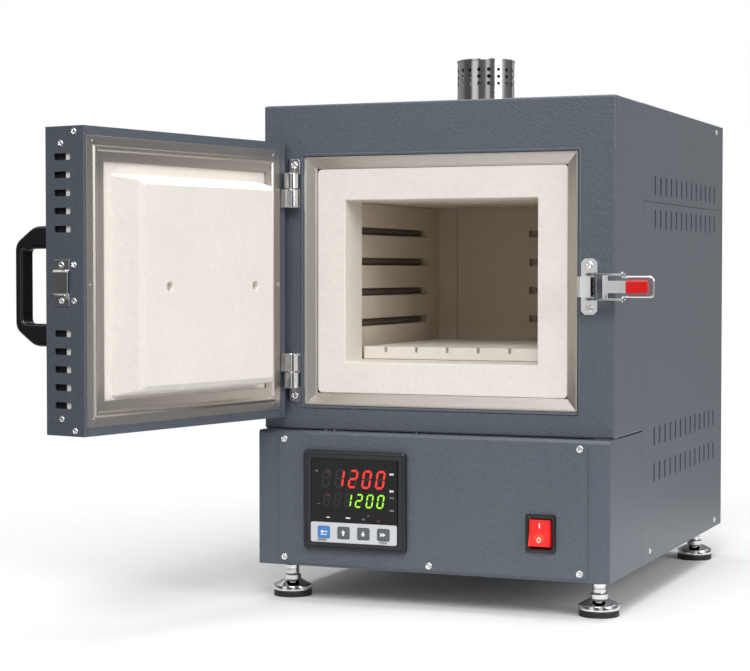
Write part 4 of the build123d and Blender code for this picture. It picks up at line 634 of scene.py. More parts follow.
def finishes():
    """Every finish: the effect it uses, that effect's values, its bump and the shader's own values."""
    tint = colours()
    paint, bright = tuple(tint.paint), tuple(tint.bright)
    coat = {"Scale": 400.0, "Fleck": 0.9, "Mottle": 0.12}
    board = tuple(tint.ceramic)
    return {
        "slate_paint": ("coat", paint, coat, 0.0006, {"Roughness": 0.46, "Coat Weight": 0.25, "Coat Roughness": 0.22}),
        "zinc_sheet": ("coat", (0.33, 0.34, 0.35), {"Scale": 90.0, "Fleck": 0.5, "Mottle": 0.3}, 0.0,
                       {"Roughness": 0.42, "Metallic": 0.8}),
        # Near-black sheet for the inner casing: its colour is painted shade, so that the louvre slots look dark
        "shade_black_sheet": ("coat", (0.012, 0.012, 0.013), {"Scale": 500.0, "Fleck": 0.4, "Mottle": 0.3}, 0.0001,
                        {"Roughness": 0.7}),
        # Near-black board for the door insulation: its colour is painted shade, so that the slots in the door's edge
        # look dark
        "shade_black_board": ("board", (0.012, 0.012, 0.013), {"Specks": 0.1}, 0.0004, {"Roughness": 0.95}),
        "stainless_strip": ("brushed", tuple(tint.stainless), {"Contrast": 0.35, "Roughness": 0.34}, 0.00001,
                            {"Metallic": 1.0}),
        "bright_steel": ("marks", bright, {"Roughness": 0.16, "Amount": 0.12, "Scale": 160.0}, 0.0,
                         {"Metallic": 1.0}),
        "dark_steel": ("marks", (0.07, 0.065, 0.06), {"Roughness": 0.34, "Amount": 0.2, "Scale": 200.0}, 0.0,
                       {"Metallic": 0.7}),
        "cap_steel": ("marks", (0.62, 0.61, 0.60), {"Roughness": 0.12, "Amount": 0.08, "Scale": 90.0}, 0.0,
                      {"Metallic": 1.0}),
        "ceramic_board": ("board", board, {"Specks": 0.10}, 0.0006, {"Roughness": 0.92}),
        "chamber_board": ("board", tuple(np.array(board) * (0.93, 0.87, 0.78)), {"Specks": 0.12}, 0.0006,
                          {"Roughness": 0.92}),
        "fibre_blanket": ("board", (0.82, 0.81, 0.78), {"Specks": 0.05}, 0.002, {"Roughness": 1.0}),
        "oxidised_wire": ("marks", (0.24, 0.205, 0.17), {"Roughness": 0.42, "Amount": 0.2, "Scale": 400.0}, 0.0,
                          {"Metallic": 0.5}),
        "black_gloss": ("marks", (0.010, 0.010, 0.011), {"Roughness": 0.17, "Amount": 0.12, "Scale": 45.0}, 0.0,
                        {"Specular IOR Level": 0.55}),
        "bezel_plastic": ("coat", (0.016, 0.018, 0.022), {"Scale": 1500.0, "Fleck": 0.2, "Mottle": 0.1}, 0.00003,
                          {"Roughness": 0.30}),
        "window_plastic": ("marks", (0.0055, 0.006, 0.0068), {"Roughness": 0.12, "Amount": 0.05, "Scale": 30.0}, 0.0,
                           {"Specular IOR Level": 0.3}),
        "silver_plastic": ("coat", (0.37, 0.39, 0.43), {"Scale": 1800.0, "Fleck": 0.15, "Mottle": 0.05}, 0.00001,
                           {"Roughness": 0.38, "Metallic": 0.25}),
        "blue_key": ("marks", tuple(tint.set_key), {"Roughness": 0.35, "Amount": 0.1, "Scale": 90.0}, 0.0, {}),
        "grey_key": ("marks", (0.045, 0.052, 0.064), {"Roughness": 0.40, "Amount": 0.1, "Scale": 90.0}, 0.0, {}),
        "white_print": ("marks", (0.85, 0.87, 0.9), {"Roughness": 0.5, "Amount": 0.1, "Scale": 90.0}, 0.0, {}),
        "dim_print": ("marks", (0.16, 0.17, 0.18), {"Roughness": 0.5, "Amount": 0.1, "Scale": 90.0}, 0.0, {}),
        "dim_red": ("marks", (0.20, 0.02, 0.015), {"Roughness": 0.5, "Amount": 0.1, "Scale": 90.0}, 0.0, {}),
        "ghost_digit": ("marks", (0.016, 0.0125, 0.011), {"Roughness": 0.3, "Amount": 0.1, "Scale": 90.0}, 0.0, {}),
        "upper_glow": ("marks", (0.2, 0.01, 0.01), {"Roughness": 0.4, "Amount": 0.1, "Scale": 90.0}, 0.0,
                       {"Emission Color": (*tint.upper_digits, 1), "Emission Strength": 1.0}),
        "lower_glow": ("marks", (0.05, 0.2, 0.01), {"Roughness": 0.4, "Amount": 0.1, "Scale": 90.0}, 0.0,
                       {"Emission Color": (*tint.lower_digits, 1), "Emission Strength": 0.95}),
        "red_grip": ("marks", tuple(tint.grip), {"Roughness": 0.30, "Amount": 0.1, "Scale": 120.0}, 0.0, {}),
        "black_rubber": ("coat", (0.012, 0.013, 0.014), {"Scale": 900.0, "Fleck": 0.3, "Mottle": 0.2}, 0.0001,
                         {"Roughness": 0.55}),
        "aluminium": ("marks", (0.55, 0.56, 0.57), {"Roughness": 0.32, "Amount": 0.15, "Scale": 80.0}, 0.0,
                      {"Metallic": 1.0}),
    }


def material(name):
    """The named finish as a material, built when first asked for."""
    if name in bpy.data.materials:
        return bpy.data.materials[name]
    if name == "lit_rocker":
        return rocker_material()
    effect, colour, values, bump, own = finishes()[name]
    group = {"coat": coat_grain, "brushed": brushed_lines, "board": board_speckle, "marks": handling_marks}[effect]()
    made = bpy.data.materials.new(name)
    made.use_nodes = True
    tree = made.node_tree
    shader = tree.nodes["Principled BSDF"]
    effect_node = wired(tree, "ShaderNodeGroup", node_tree=group)
    effect_node.inputs["Colour"].default_value = (*colour, 1)
    for key, value in values.items():
        effect_node.inputs[key].default_value = value
    tree.links.new(effect_node.outputs["Colour"], shader.inputs["Base Color"])
    if "Roughness" in effect_node.outputs:
        tree.links.new(effect_node.outputs["Roughness"], shader.inputs["Roughness"])
    for key, value in own.items():
        shader.inputs[key].default_value = value
    if bump:
        bump_node = wired(tree, "ShaderNodeBump", {"Height": effect_node.outputs["Height"], "Distance": bump})
        tree.links.new(bump_node.outputs[0], shader.inputs["Normal"])
    return made


def rocker_material():
    """Red rocker lit from inside: the glow falls from orange to deep red with distance from the lamp."""
    made = bpy.data.materials.new("lit_rocker")
    made.use_nodes = True
    tree = made.node_tree
    shader = tree.nodes["Principled BSDF"]
    low, high = limits("switch_rocker")
    lamp = np.array([(low[0] + high[0]) / 2, low[1], low[2] + (high[2] - low[2]) * 0.33]) * MM + ORIGIN
    place = wired(tree, "ShaderNodeTexCoord").outputs["Object"]
    reach = wired(tree, "ShaderNodeVectorMath", {0: place, 1: tuple(lamp)}, operation="DISTANCE")
    cloud = wired(tree, "ShaderNodeTexNoise", {"Vector": place, "Scale": 220.0})
    spread = math_node(tree, "ADD", reach.outputs["Value"],
                       math_node(tree, "MULTIPLY", math_node(tree, "SUBTRACT", cloud.outputs["Fac"], 0.5), 0.002))
    ramp = wired(tree, "ShaderNodeValToRGB", {"Fac": math_node(tree, "MULTIPLY", spread, 55.0)})
    ramp.color_ramp.elements[0].color = (1.0, 0.16, 0.03, 1)
    ramp.color_ramp.elements[1].color = (0.32, 0.004, 0.004, 1)
    middle = ramp.color_ramp.elements.new(0.35)
    middle.color = (0.86, 0.012, 0.006, 1)
    tree.links.new(ramp.outputs["Color"], shader.inputs["Emission Color"])
    shader.inputs["Base Color"].default_value = (0.45, 0.01, 0.01, 1)
    shader.inputs["Roughness"].default_value = 0.22
    shader.inputs["Emission Strength"].default_value = 0.85
    return made


class FurnaceStep:
    """Common settings of the operators."""

    bl_options = {"REGISTER", "UNDO"}


class FURNACE_OT_cabinet(FurnaceStep, Operator):
    """Painted shell, covers and panels of the cabinet"""

    bl_idname = "furnace.cabinet"
    bl_label = "Cabinet"

    def execute(self, context):
        low, high = limits("front_shell")
        fold, ridge, edge = sizes().fold / MM, sizes().ridge / MM, sizes().edge / MM
        sheet = 1.5
        trim_low, trim_high = limits("opening_trim")
        opening_x = (trim_low[0] + TRIM_LAP, trim_high[0] - TRIM_LAP)
        opening_z = (trim_low[2] + TRIM_LAP, trim_high[2] - TRIM_LAP)

        def outer(inward, radius):
            return rectangle((low[0] + inward, high[0] - inward), (low[2] + inward, high[2] - inward), radius)

        def inner(grow):
            return rectangle((opening_x[0] - grow, opening_x[1] + grow),
                             (opening_z[0] - grow, opening_z[1] + grow), 0.4 + grow)

        angle = np.linspace(0, math.pi / 2, 7)
        moved, sunk = fold * (1 - np.cos(angle)), fold * (1 - np.sin(angle))
        skin = [outer(sheet, 0.7), outer(0, fold)] + [outer(m, max(fold - m, 0.05)) for m in moved]
        skin_depth = [WRAP, WRAP] + list(sunk)
        rim_grow = (3.0, 2.7, 2.1, 0.9, 0.3, 0.0, 0.0)
        rim_depth = (0.0, -0.62 * ridge, -ridge, -ridge, -0.7 * ridge, -0.15 * ridge, sheet)
        rim = [inner(grow) for grow in rim_grow]
        count = len(skin[0])
        loops = skin + rim + [outer(sheet, 0.7)]
        depths = skin_depth + list(rim_depth) + [sheet]
        points = np.concatenate([onto(a[:, 0], a[:, 1], d, "front") for a, d in zip(loops, depths)])
        first_rim = len(skin)
        last = len(loops) - 1
        faces = [net(first_rim, count, wrap_columns=True),
                 net(len(rim), count, wrap_columns=True) + first_rim * count,
                 filled([loops[first_rim - 1], loops[first_rim]], [(first_rim - 1) * count, first_rim * count]),
                 filled([loops[last], loops[last - 1]], [last * count, (last - 1) * count])]
        back = net(2, count, wrap_columns=True)
        back = np.where(back < count, back, back - count + last * count)
        put("front_shell_skin", Surface(points, faces + [back]), "slate_paint", stands_for=("front_shell",),
            weighted=True)

        low, high = limits("front_panel")
        case_low, case_high = limits("controller_case")
        well_low, well_high = limits("switch_housing")
        loops = [rectangle((low[0], high[0]), (low[2], high[2]), 4.0, 8),
                 hole(rectangle((case_low[0] - 0.3, case_high[0] + 0.3), (case_low[2] - 0.3, case_high[2] + 0.3), 0.5)),
                 hole(rectangle((well_low[0] + 2, well_high[0] - 2), (well_low[2] + 2, well_high[2] - 2), 0.5))]
        put("control_panel", plate(loops, low[1], high[1], 0.6, 3), "slate_paint", stands_for=("front_panel",),
            weighted=True)
        dressed("control_housing", "slate_paint", 0.5, 3)
        for node in ("top_cover", "side_panel_left", "side_panel_right", "rear_panel"):
            dressed(node, "slate_paint", edge, 2)
        return {"FINISHED"}


class FURNACE_OT_inside(FurnaceStep, Operator):
    """Finishes of the pieces that stay inside: posts, casing, fibre, relay and heat sink; the casing and the door
    insulation are near-black as painted shade behind the slots
    """

    bl_idname = "furnace.inside"
    bl_label = "Inside pieces"

    def execute(self, context):
        inside = {
            # The casing's near-black finish is painted shade seen through the slots in the panels
            "inner_frame": "zinc_sheet", "inner_casing": "shade_black_sheet", "fibre_lining": "fibre_blanket",
            # The door insulation's near-black finish is painted shade seen through the door's edge slots
            "door_insulation": "shade_black_board", "element_terminals": "ceramic_board",
            "flue_tube": "chamber_board", "controller_case": "bezel_plastic",
            "solid_state_relay": "black_gloss", "heat_sink": "aluminium",
        }
        for node, finish in inside.items():
            paint_node(node, finish)
        dressed("thermocouple", "stainless_strip", 0.3, 2)
        dressed("base_plate", "zinc_sheet", 0.3, 2)
        return {"FINISHED"}


class FURNACE_OT_opening(FurnaceStep, Operator):
    """Mitred steel trim and the ceramic collar round the mouth"""

    bl_idname = "furnace.opening"
    bl_label = "Opening"

    def execute(self, context):
        low, high = limits("opening_trim")
        x = (low[0] + TRIM_LAP + 0.3, high[0] - TRIM_LAP - 0.3)
        z = (low[2] + TRIM_LAP + 0.3, high[2] - TRIM_LAP - 0.3)
        profile = [(0.0, 1.5), (0.0, -0.3), (0.3, -0.6), (1.5, -0.6), (2.0, -0.3), (2.4, 0.35), (10.2, 4.6),
                   (10.7, 5.2), (10.9, 5.75), (11.3, 6.05), (11.7, 6.4), (11.7, 9.6), (10.5, 9.6), (10.5, 6.9),
                   (1.6, 1.5)]
        put("opening_frame", mitred(x, z, profile), "stainless_strip", stands_for=("opening_trim",),
            smooth=25, weighted=True)
        low, high = limits("mouth_block")
        mouth_x, mouth_z = mouth_limits()
        loops = [rectangle((low[0], high[0]), (low[2], high[2]), 4.5, 6), hole(rectangle(mouth_x, mouth_z, 1.2, 4))]
        put("mouth_collar", plate(loops, low[1], high[1], sizes().board_edge / MM, 3), "ceramic_board",
            stands_for=("mouth_block",), weighted=True)
        return {"FINISHED"}


def mouth_limits():
    """Left and right, and lower and upper, edges of the chamber mouth."""
    points = node_points("mouth_block")
    low, high = limits("mouth_block")
    rear = points[points[:, 1] > high[1] - 0.5]
    inside = rear[(rear[:, 0] > low[0] + 9) & (rear[:, 0] < high[0] - 9)
                  & (rear[:, 2] > low[2] + 9) & (rear[:, 2] < high[2] - 9)]
    return (inside[:, 0].min(), inside[:, 0].max()), (inside[:, 2].min(), inside[:, 2].max())


class FURNACE_OT_chamber(FurnaceStep, Operator):
    """Chamber boards, the slotted hearth plate and the coiled heating wires"""

    bl_idname = "furnace.chamber"
    bl_label = "Chamber"

    def execute(self, context):
        soft = sizes().board_edge / MM
        for node in ("chamber_wall_left", "chamber_wall_right", "chamber_roof", "chamber_floor", "chamber_back"):
            dressed(node, "chamber_board", soft * 0.7, 3)
        low, high = limits("hearth_plate")
        slot_half, slot_deep = 1.3, 5.5
        middle = (low[0] + high[0]) / 2 - 9.0
        outline = [(low[0], low[2]), (high[0], low[2]), (high[0], high[2])]
        for i in range(4, -1, -1):
            x = middle + (i - 2) * 32.3
            outline += [(x + slot_half, high[2]), (x + slot_half, high[2] - slot_deep),
                        (x - slot_half, high[2] - slot_deep), (x - slot_half, high[2])]
        outline.append((low[0], high[2]))
        put("hearth_slab", plate([softened(outline, 0.5, 2)], low[1], high[1], 0.7, 2), "ceramic_board",
            stands_for=("hearth_plate",), weighted=True)
        wire_radius, pitch = sizes().coil_wire / MM, sizes().coil_pitch / MM
        groups = {"left": [], "right": [], "back": []}
        for low, high in separate_solids("heating_coils"):
            middle = (low + high) / 2
            along = int(np.argmax(high - low))
            start, end = middle.copy(), middle.copy()
            start[along], end[along] = low[along] + 1, high[along] - 1
            coil = (high[2] - low[2]) / 2 - wire_radius
            side = "back" if along == 0 else ("left" if middle[0] < 0 else "right")
            groups[side].append(helix(start, end, coil, wire_radius, pitch))
        for side, coils in groups.items():
            stands_for = ("heating_coils",) if side == "left" else ()
            put("coils_" + side, gathered(coils), "oxidised_wire", stands_for=stands_for, smooth=60)
        return {"FINISHED"}


class FURNACE_OT_flue(FurnaceStep, Operator):
    """Perforated vent cap: cells that run from a round hole to their share of the cylinder wall"""

    bl_idname = "furnace.flue"
    bl_label = "Vent cap"

    def execute(self, context):
        low, high = limits("flue_cap")
        centre = (low + high) / 2
        radius, wall, bore = 29.0, 1.2, 2.05
        rows, holes, pitch, across, upright = (27.0, 34.0, 41.0), 18, 7.0, 6, 4
        width = 2 * math.pi * radius / holes
        edge_u = np.concatenate([np.linspace(-1, 1, across + 1)[:-1], np.ones(upright),
                                 np.linspace(1, -1, across + 1)[:-1], -np.ones(upright)]) * width / 2
        edge_v = np.concatenate([-np.ones(across), np.linspace(-1, 1, upright + 1)[:-1],
                                 np.ones(across), np.linspace(1, -1, upright + 1)[:-1]]) * pitch / 2
        angle = np.arctan2(edge_v, edge_u)
        mix = np.array([0.0, 0.18, 0.5, 1.0])[:, None]
        u = (1 - mix) * bore * np.cos(angle) + mix * edge_u
        v = (1 - mix) * bore * np.sin(angle) + mix * edge_v
        cells = []
        for row in rows:
            for place in range(holes):
                turn = (place + 0.25) * width
                rings_u = np.concatenate([u[::-1], u]) + turn
                rings_v = np.concatenate([v[::-1], v]) + low[2] + row
                reach = np.concatenate([np.full(4, radius), np.full(4, radius - wall)])[:, None]
                around = rings_u / radius - math.pi / 2
                points = np.stack([reach * np.cos(around), reach * np.sin(around), rings_v], -1)
                cells.append(Surface(points + (centre[0], centre[1], 0),
                                     [net(8, angle.size, wrap_columns=True)]))
        count = holes * across
        start, end = low[2] + rows[0] - pitch / 2, low[2] + rows[-1] + pitch / 2
        below = [(radius, start), (radius, low[2] + 2.0), (radius + 0.1, low[2] + 0.6), (radius - 0.3, low[2]),
                 (13.6, low[2]), (13.6, low[2] + wall), (radius - wall, low[2] + wall), (radius - wall, start)]
        above = [(radius, end), (radius, high[2] - 2.2), (radius + 0.5, high[2] - 1.9), (radius + 0.7, high[2] - 1.2),
                 (radius + 0.5, high[2] - 0.4), (radius - 0.6, high[2]), (radius - 6, high[2] - 0.1), (0, high[2]),
                 (0, high[2] - wall), (radius - wall, high[2] - wall), (radius - wall, end)]
        phase = 0.25 * width / radius - width / 2 / radius - math.pi / 2
        bands = [lathe(np.array(part), (0, 0, 0), "Z", count) for part in (below, above)]
        bands = [band.warped(lambda p: turned(p, (0, 0), phase) + (centre[0], centre[1], 0)) for band in bands]
        put("vent_cap", gathered(cells + bands), "cap_steel", stands_for=("flue_cap",),
            smooth=40)
        return {"FINISHED"}


class FURNACE_OT_controller(FurnaceStep, Operator):
    """Controller bezel, window, key strip and keys with their symbols"""

    bl_idname = "furnace.controller"
    bl_label = "Controller"

    def execute(self, context):
        low, high = limits("controller_bezel")
        window_low, window_high = limits("display_window")
        strip_low, strip_high = limits("key_strip")
        x, z = (low[0], high[0]), (low[2], high[2])
        face_x = (window_low[0] - 0.3, window_high[0] + 0.3)
        reach = face_x[0] - x[0]
        front, back = low[1], high[1]
        profile = [(0.0, back), (0.0, front + 1.3), (0.35, front + 0.45), (1.1, front), (2.3, front), (3.0, front + 0.35),
                   (3.3, front + 1.1), (3.7, front + 1.5), (reach - 0.9, front + 1.9), (reach - 0.2, front + 1.7),
                   (reach, front + 2.2), (reach, back)]
        loops = [rectangle((x[0] + d, x[1] - d), (z[0] + d * 0.98, z[1] - d * 0.98), max(4.2 - d, 0.5), 6)
                 for d, _ in profile]
        put("controller_frame", ring_of(loops, [depth for _, depth in profile]), "bezel_plastic",
            stands_for=("controller_bezel",), smooth=28)
        low, high = window_low, window_high
        put("controller_window", plate([rectangle((low[0], high[0]), (low[2], high[2]), 0.5)], low[1], high[1], 0.3),
            "window_plastic", stands_for=("display_window",), weighted=True)
        low, high = strip_low, strip_high
        loops = [rectangle((low[0], high[0]), (low[2], high[2]), 1.8, 5)]
        for key in KEYS:
            key_low, key_high = limits("key_" + key)
            loops.append(hole(rectangle((key_low[0] - 0.3, key_high[0] + 0.3), (key_low[2] - 0.3, key_high[2] + 0.3), 1.7)))
        put("controller_key_strip", plate(loops, low[1], high[1], 0.25), "silver_plastic", stands_for=("key_strip",),
            weighted=True)
        for key in KEYS:
            self.key(key)
        self.small_print(strip_low)
        return {"FINISHED"}

    def key(self, name):
        """One key: a cushion with rounded edges, and its raised symbol."""
        low, high = limits("key_" + name)
        x, z = (low[0], high[0]), (low[2], high[2])
        insets = (0.0, 0.0, 0.12, 0.45, 0.95, 1.6)
        depths = (high[1], low[1] + 0.65, low[1] + 0.28, low[1] + 0.06, low[1], low[1] + 0.08)
        loops = [rectangle((x[0] + d, x[1] - d), (z[0] + d, z[1] - d), max(1.7 - d, 0.5), 5) for d in insets]
        finish = "blue_key" if name == "set" else "grey_key"
        body = "key_" + name
        put(body + "_cap", stacked(loops, depths), finish, body, (body,))
        middle_x, middle_z = sum(x) / 2, sum(z) / 2
        front = low[1] - 0.03
        drawn = {
            "set": [circle(-1.3, 0.6, 1.5, 20), np.array([(0.9, 0.2), (4.0, 0.2), (4.0, 1.2), (0.9, 1.2)]),
                    np.array([(-3.0, -2.6), (3.6, -2.6), (3.6, -1.7), (-3.0, -1.7)])],
            "up": [np.array([(-2.4, 0.0), (-0.9, 0.0), (-0.9, -2.6), (0.9, -2.6), (0.9, 0.0), (2.4, 0.0), (0.0, 2.9)])],
            "down": [np.array([(-2.4, 0.2), (0.0, -2.8), (2.4, 0.2), (0.9, 0.2), (0.9, 2.4), (-0.9, 2.4), (-0.9, 0.2)])],
            "shift": [np.array([(-2.9, -1.9), (-0.4, 0.0), (-0.4, -1.9), (2.7, 0.3), (-0.4, 2.3), (-0.4, 0.5),
                                (-2.9, 2.3)])],
        }[name]
        marks = [plate([shape + (middle_x, middle_z)], front, front + 0.12, 0.0) for shape in drawn]
        put(body + "_symbol", gathered(marks), "white_print", body)

    def small_print(self, strip_low):
        """Plain bars and dots in the places of the window's small print."""
        window_low, _ = limits("display_window")
        front = window_low[1] - 0.03
        left, floor = window_low[0], window_low[2]

        def bars(places):
            return gathered([plate([rectangle((x, x + w), (z, z + h), 0.2, 2)], front, front + 0.1, 0.0)
                             for x, z, w, h in places])

        bright = [(left + 81.6, floor + 47.4, 2.2, 1.9), (left + 84.4, floor + 47.4, 1.4, 1.9),
                  (left + 81.6, floor + 31.2, 2.2, 1.9), (left + 84.4, floor + 31.2, 1.4, 1.9),
                  (left + 16.0, floor + 3.9, 3.4, 1.0), (left + 36.0, floor + 3.9, 5.0, 1.2)]
        dim = [(left + 81.6, floor + 24.9, 2.4, 1.7), (left + 84.6, floor + 24.9, 1.6, 1.7),
               (left + 81.8, floor + 12.6, 4.4, 1.9), (left + 4.4, floor + 48.3, 2.4, 1.5),
               (left + 6.4, floor + 16.8, 2.0, 0.8), (left + 53.0, floor + 3.2, 3.2, 1.3),
               (left + 58.5, floor + 7.0, 2.4, 0.9)]
        put("window_print_bright", bars(bright), "white_print")
        put("window_print_dim", bars(dim), "dim_print")
        red = [(left + 15.6, floor + 47.8, 4.2, 1.1), (left + 15.8, floor + 25.2, 3.4, 1.0),
               (left + 68.5, floor + 2.4, 3.4, 1.1), (left + 14.2, floor + 3.9, 1.2, 1.2)]
        put("window_print_red", bars(red), "dim_red")
        front = strip_low[1] - 0.03
        under = [(left + 7.8, strip_low[2] + 2.0, 9.6, 1.0), (left + 72.0, strip_low[2] + 2.0, 8.0, 0.9)]
        put("strip_print", bars(under).warped(lambda p: p + (0, front - window_low[1] + 0.03, 0)), "grey_key")


class FURNACE_OT_display(FurnaceStep, Operator):
    """Two rows of slanted seven-segment digits with unlit segments behind them"""

    bl_idname = "furnace.display"
    bl_label = "Display digits"

    def execute(self, context):
        low, _ = limits("display_window")
        text = "%04d" % sizes().reading
        rows = (
            ("upper", "upper_glow", -52.6, 14.1, 114.2, 9.3, 17.8, 2.1),
            ("lower", "lower_glow", -51.0, 11.2, 95.6, 7.2, 13.4, 1.55),
        )
        for name, finish, last_x, pitch, base, width, height, thick in rows:
            lit, unlit = [], []
            for place in range(6):
                x = last_x - place * pitch
                shown = self.segments(text[3 - place]) if place < 4 else ""
                for label, loop in self.shapes(width, height, thick):
                    moved = loop + (x, base)
                    if label in shown:
                        lit.append(plate([moved], low[1] - 0.05, low[1] + 0.05, 0.0))
                    elif moved[:, 0].min() > low[0] + 8:
                        unlit.append(plate([moved], low[1] - 0.02, low[1] + 0.05, 0.0))
            put("digits_" + name, gathered(lit), finish)
            put("unlit_" + name, gathered(unlit), "ghost_digit")
        return {"FINISHED"}

    def segments(self, digit):
        """Letters of the lit segments of a digit: a top, b and c right, d bottom, e and f left, g middle."""
        table = {"0": "abcdef", "1": "bc", "2": "abdeg", "3": "abcdg", "4": "bcfg", "5": "acdfg",
                 "6": "acdefg", "7": "abc", "8": "abcdefg", "9": "abcdfg"}
        return table[digit]

    def shapes(self, width, height, thick, slant=0.16, gap=0.28):
        """The seven segments as slanted six-sided loops."""
        half = thick / 2
        middle = height / 2
        ends = {"a": ((half, height - half), (width - half, height - half)),
                "d": ((half, half), (width - half, half)),
                "g": ((half, middle), (width - half, middle)),
                "b": ((width - half, middle), (width - half, height - half)),
                "c": ((width - half, half), (width - half, middle)),
                "e": ((half, half), (half, middle)),
                "f": ((half, middle), (half, height - half))}
        for label, (start, end) in ends.items():
            start, end = np.array(start), np.array(end)
            along = (end - start) / np.linalg.norm(end - start)
            side = np.array([-along[1], along[0]]) * half
            start, end = start + along * gap, end - along * gap
            loop = np.array([start, start + along * half - side, end - along * half - side, end,
                             end - along * half + side, start + along * half + side])
            yield label, loop + np.stack([loop[:, 1] * slant, 0 * loop[:, 1]], -1)


class FURNACE_OT_switch(FurnaceStep, Operator):
    """Rocker switch: bezel with its well, the lit rocker and its marks"""

    bl_idname = "furnace.switch"
    bl_label = "Rocker switch"

    def execute(self, context):
        low, high = limits("switch_housing")
        x, z = (low[0], high[0]), (low[2], high[2])
        front = low[1]
        panel = limits("front_panel")[0][1]
        well_x, well_z = (4.25, 4.3)
        insets = ((0.0, panel), (0.0, front + 0.9), (0.3, front + 0.3), (0.9, front), (2.6, front), (3.3, front + 0.35),
                  (well_x, front + 1.0), (well_x, front + 9.0), (well_x, high[1]), (2.3, high[1]), (2.3, panel))
        loops = [rectangle((x[0] + d, x[1] - d), (z[0] + d * well_z / well_x, z[1] - d * well_z / well_x),
                           max(2.0 - d * 0.4, 0.4), 5) for d, _ in insets]
        put("switch_frame", ring_of(loops, [depth for _, depth in insets]), "black_gloss",
            stands_for=("switch_housing",), smooth=30)
        pivot = (np.array(JOINTS["rocker_pivot"]["pos_m"]) - ORIGIN) / MM
        tilt = math.radians(JOINTS["rocker_pivot"]["range_deg"][1] / 2)
        half_width, half = 9.9, 12.6

        def face(height):
            """Depth of the rocker's hollow face: it rises by the square of the height."""
            return front - 1.2 - 1.6 * (np.abs(height) / half) ** 1.5

        height = np.linspace(-half, half, 25)
        outline = np.concatenate([np.stack([face(height), height], -1),
                                  [(front + 4.5, half * 0.8), (front + 4.5, -half * 0.8)]])

        def tilted(points):
            """Turned about the pivot line so that the top is pressed in."""
            y, z = points[:, 1] - pivot[1], points[:, 2] - pivot[2]
            cosine, sine = math.cos(-tilt), math.sin(-tilt)
            return np.stack([points[:, 0], pivot[1] + cosine * y - sine * z, pivot[2] + sine * y + cosine * z], -1)

        body = plate([softened(outline, 0.7, 3) + (0, pivot[2])], pivot[0] - half_width, pivot[0] + half_width,
                     0.9, 4, facing="side")
        pins = lathe([(0, -11.4), (1.6, -11.4), (1.6, 11.4), (0, 11.4)], pivot, "X", 20)
        put("rocker_cap", body.warped(tilted) + pins, "lit_rocker", "rocker", ("switch_rocker",),
            smooth=40, weighted=True)

        def printed(loops):
            """A flat mark laid on the hollow face."""
            mark = plate([loop + (pivot[0] - 0.4, pivot[2]) for loop in loops], 0.0, 0.12, 0.0)
            return mark.warped(lambda p: tilted(np.stack(
                [p[:, 0], p[:, 1] + face(p[:, 2] - pivot[2]) - 0.08, p[:, 2]], -1)))

        bar = printed([rectangle((-0.5, 0.5), (4.6, 9.0), 0.2, 2)])
        ring = printed([circle(0, 0, 1, 28) * (1.9, 2.5) + (0, -6.4), hole(circle(0, 0, 1, 28) * (1.2, 1.8) + (0, -6.4))])
        put("rocker_marks", bar + ring, "white_print", "rocker")
        return {"FINISHED"}


class FURNACE_OT_feet(FurnaceStep, Operator):
    """Levelling feet: turned steel puck, neck and threaded stud on a rubber pad"""

    bl_idname = "furnace.feet"
    bl_label = "Feet"

    def execute(self, context):
        plate_low, _ = limits("base_plate")
        for name in FEET:
            low, high = limits("foot_" + name)
            pad_low, pad_high = limits("pad_" + name)
            x, y = (low[0] + high[0]) / 2, (low[1] + high[1]) / 2
            base, under = low[2], plate_low[2]
            body = [(0, base), (18.9, base), (19.3, base + 0.3), (19.3, base + 4.4), (19.0, base + 5.0),
                    (18.2, base + 5.5), (13.0, base + 8.1), (9.4, base + 9.8), (8.3, base + 10.4), (8.3, base + 10.8),
                    (8.25, base + 11.2), (8.3, base + 11.6), (8.3, base + 14.4), (7.7, base + 15.0), (6.5, base + 15.1),
                    (6.1, base + 15.6), (6.3, base + 16.2), (6.3, base + 19.2), (5.8, base + 19.7), (5.8, base + 20.4),
                    (6.3, base + 20.9), (6.3, under - 1.4), (5.6, under - 0.6), (5.0, under - 0.4)]
            thread = np.arange(under + 0.2, high[2] - 0.8, 0.5)
            body += [(5.0 if i % 2 else 4.75, z) for i, z in enumerate(thread)]
            body += [(4.4, high[2]), (0, high[2])]
            put("foot_%s_steel" % name, lathe(body, (x, y, 0), "Z", 64), "bright_steel", "foot_" + name,
                ("foot_" + name,), smooth=32)
            top = pad_high[2]
            rubber = [(0, 0), (18.2, 0), (18.8, 0.35), (18.9, 0.9), (18.6, 1.4), (18.9, 1.9), (18.95, top - 0.7),
                      (18.6, top - 0.1), (18.4, top), (0, top)]
            put("pad_%s_rubber" % name, lathe(rubber, (x, y, 0), "Z", 64), "black_rubber", "foot_" + name,
                ("pad_" + name,), smooth=32)
            flange = [(5.2, under), (11.4, under), (12.1, under + 0.5), (12.2, under + 1.2), (12.2, under + 4.0)]
            flange += [(12.0, under + 4.0), (5.2, under + 4.0)]
            ring = lathe(flange + flange[:1], (x, y, 0), "Z", 48)
            put("foot_%s_flange" % name, ring.warped(lambda p: p * 1.0), "bright_steel")
        return {"FINISHED"}


class FURNACE_OT_hinges(FurnaceStep, Operator):
    """Hinge leaves with their knuckles"""

    bl_idname = "furnace.hinges"
    bl_label = "Hinges"

    def execute(self, context):
        dressed("hinge_frame_leaves", "bright_steel", 0.5, 3)
        dressed("hinge_door_leaves", "bright_steel", 0.5, 3)
        return {"FINISHED"}


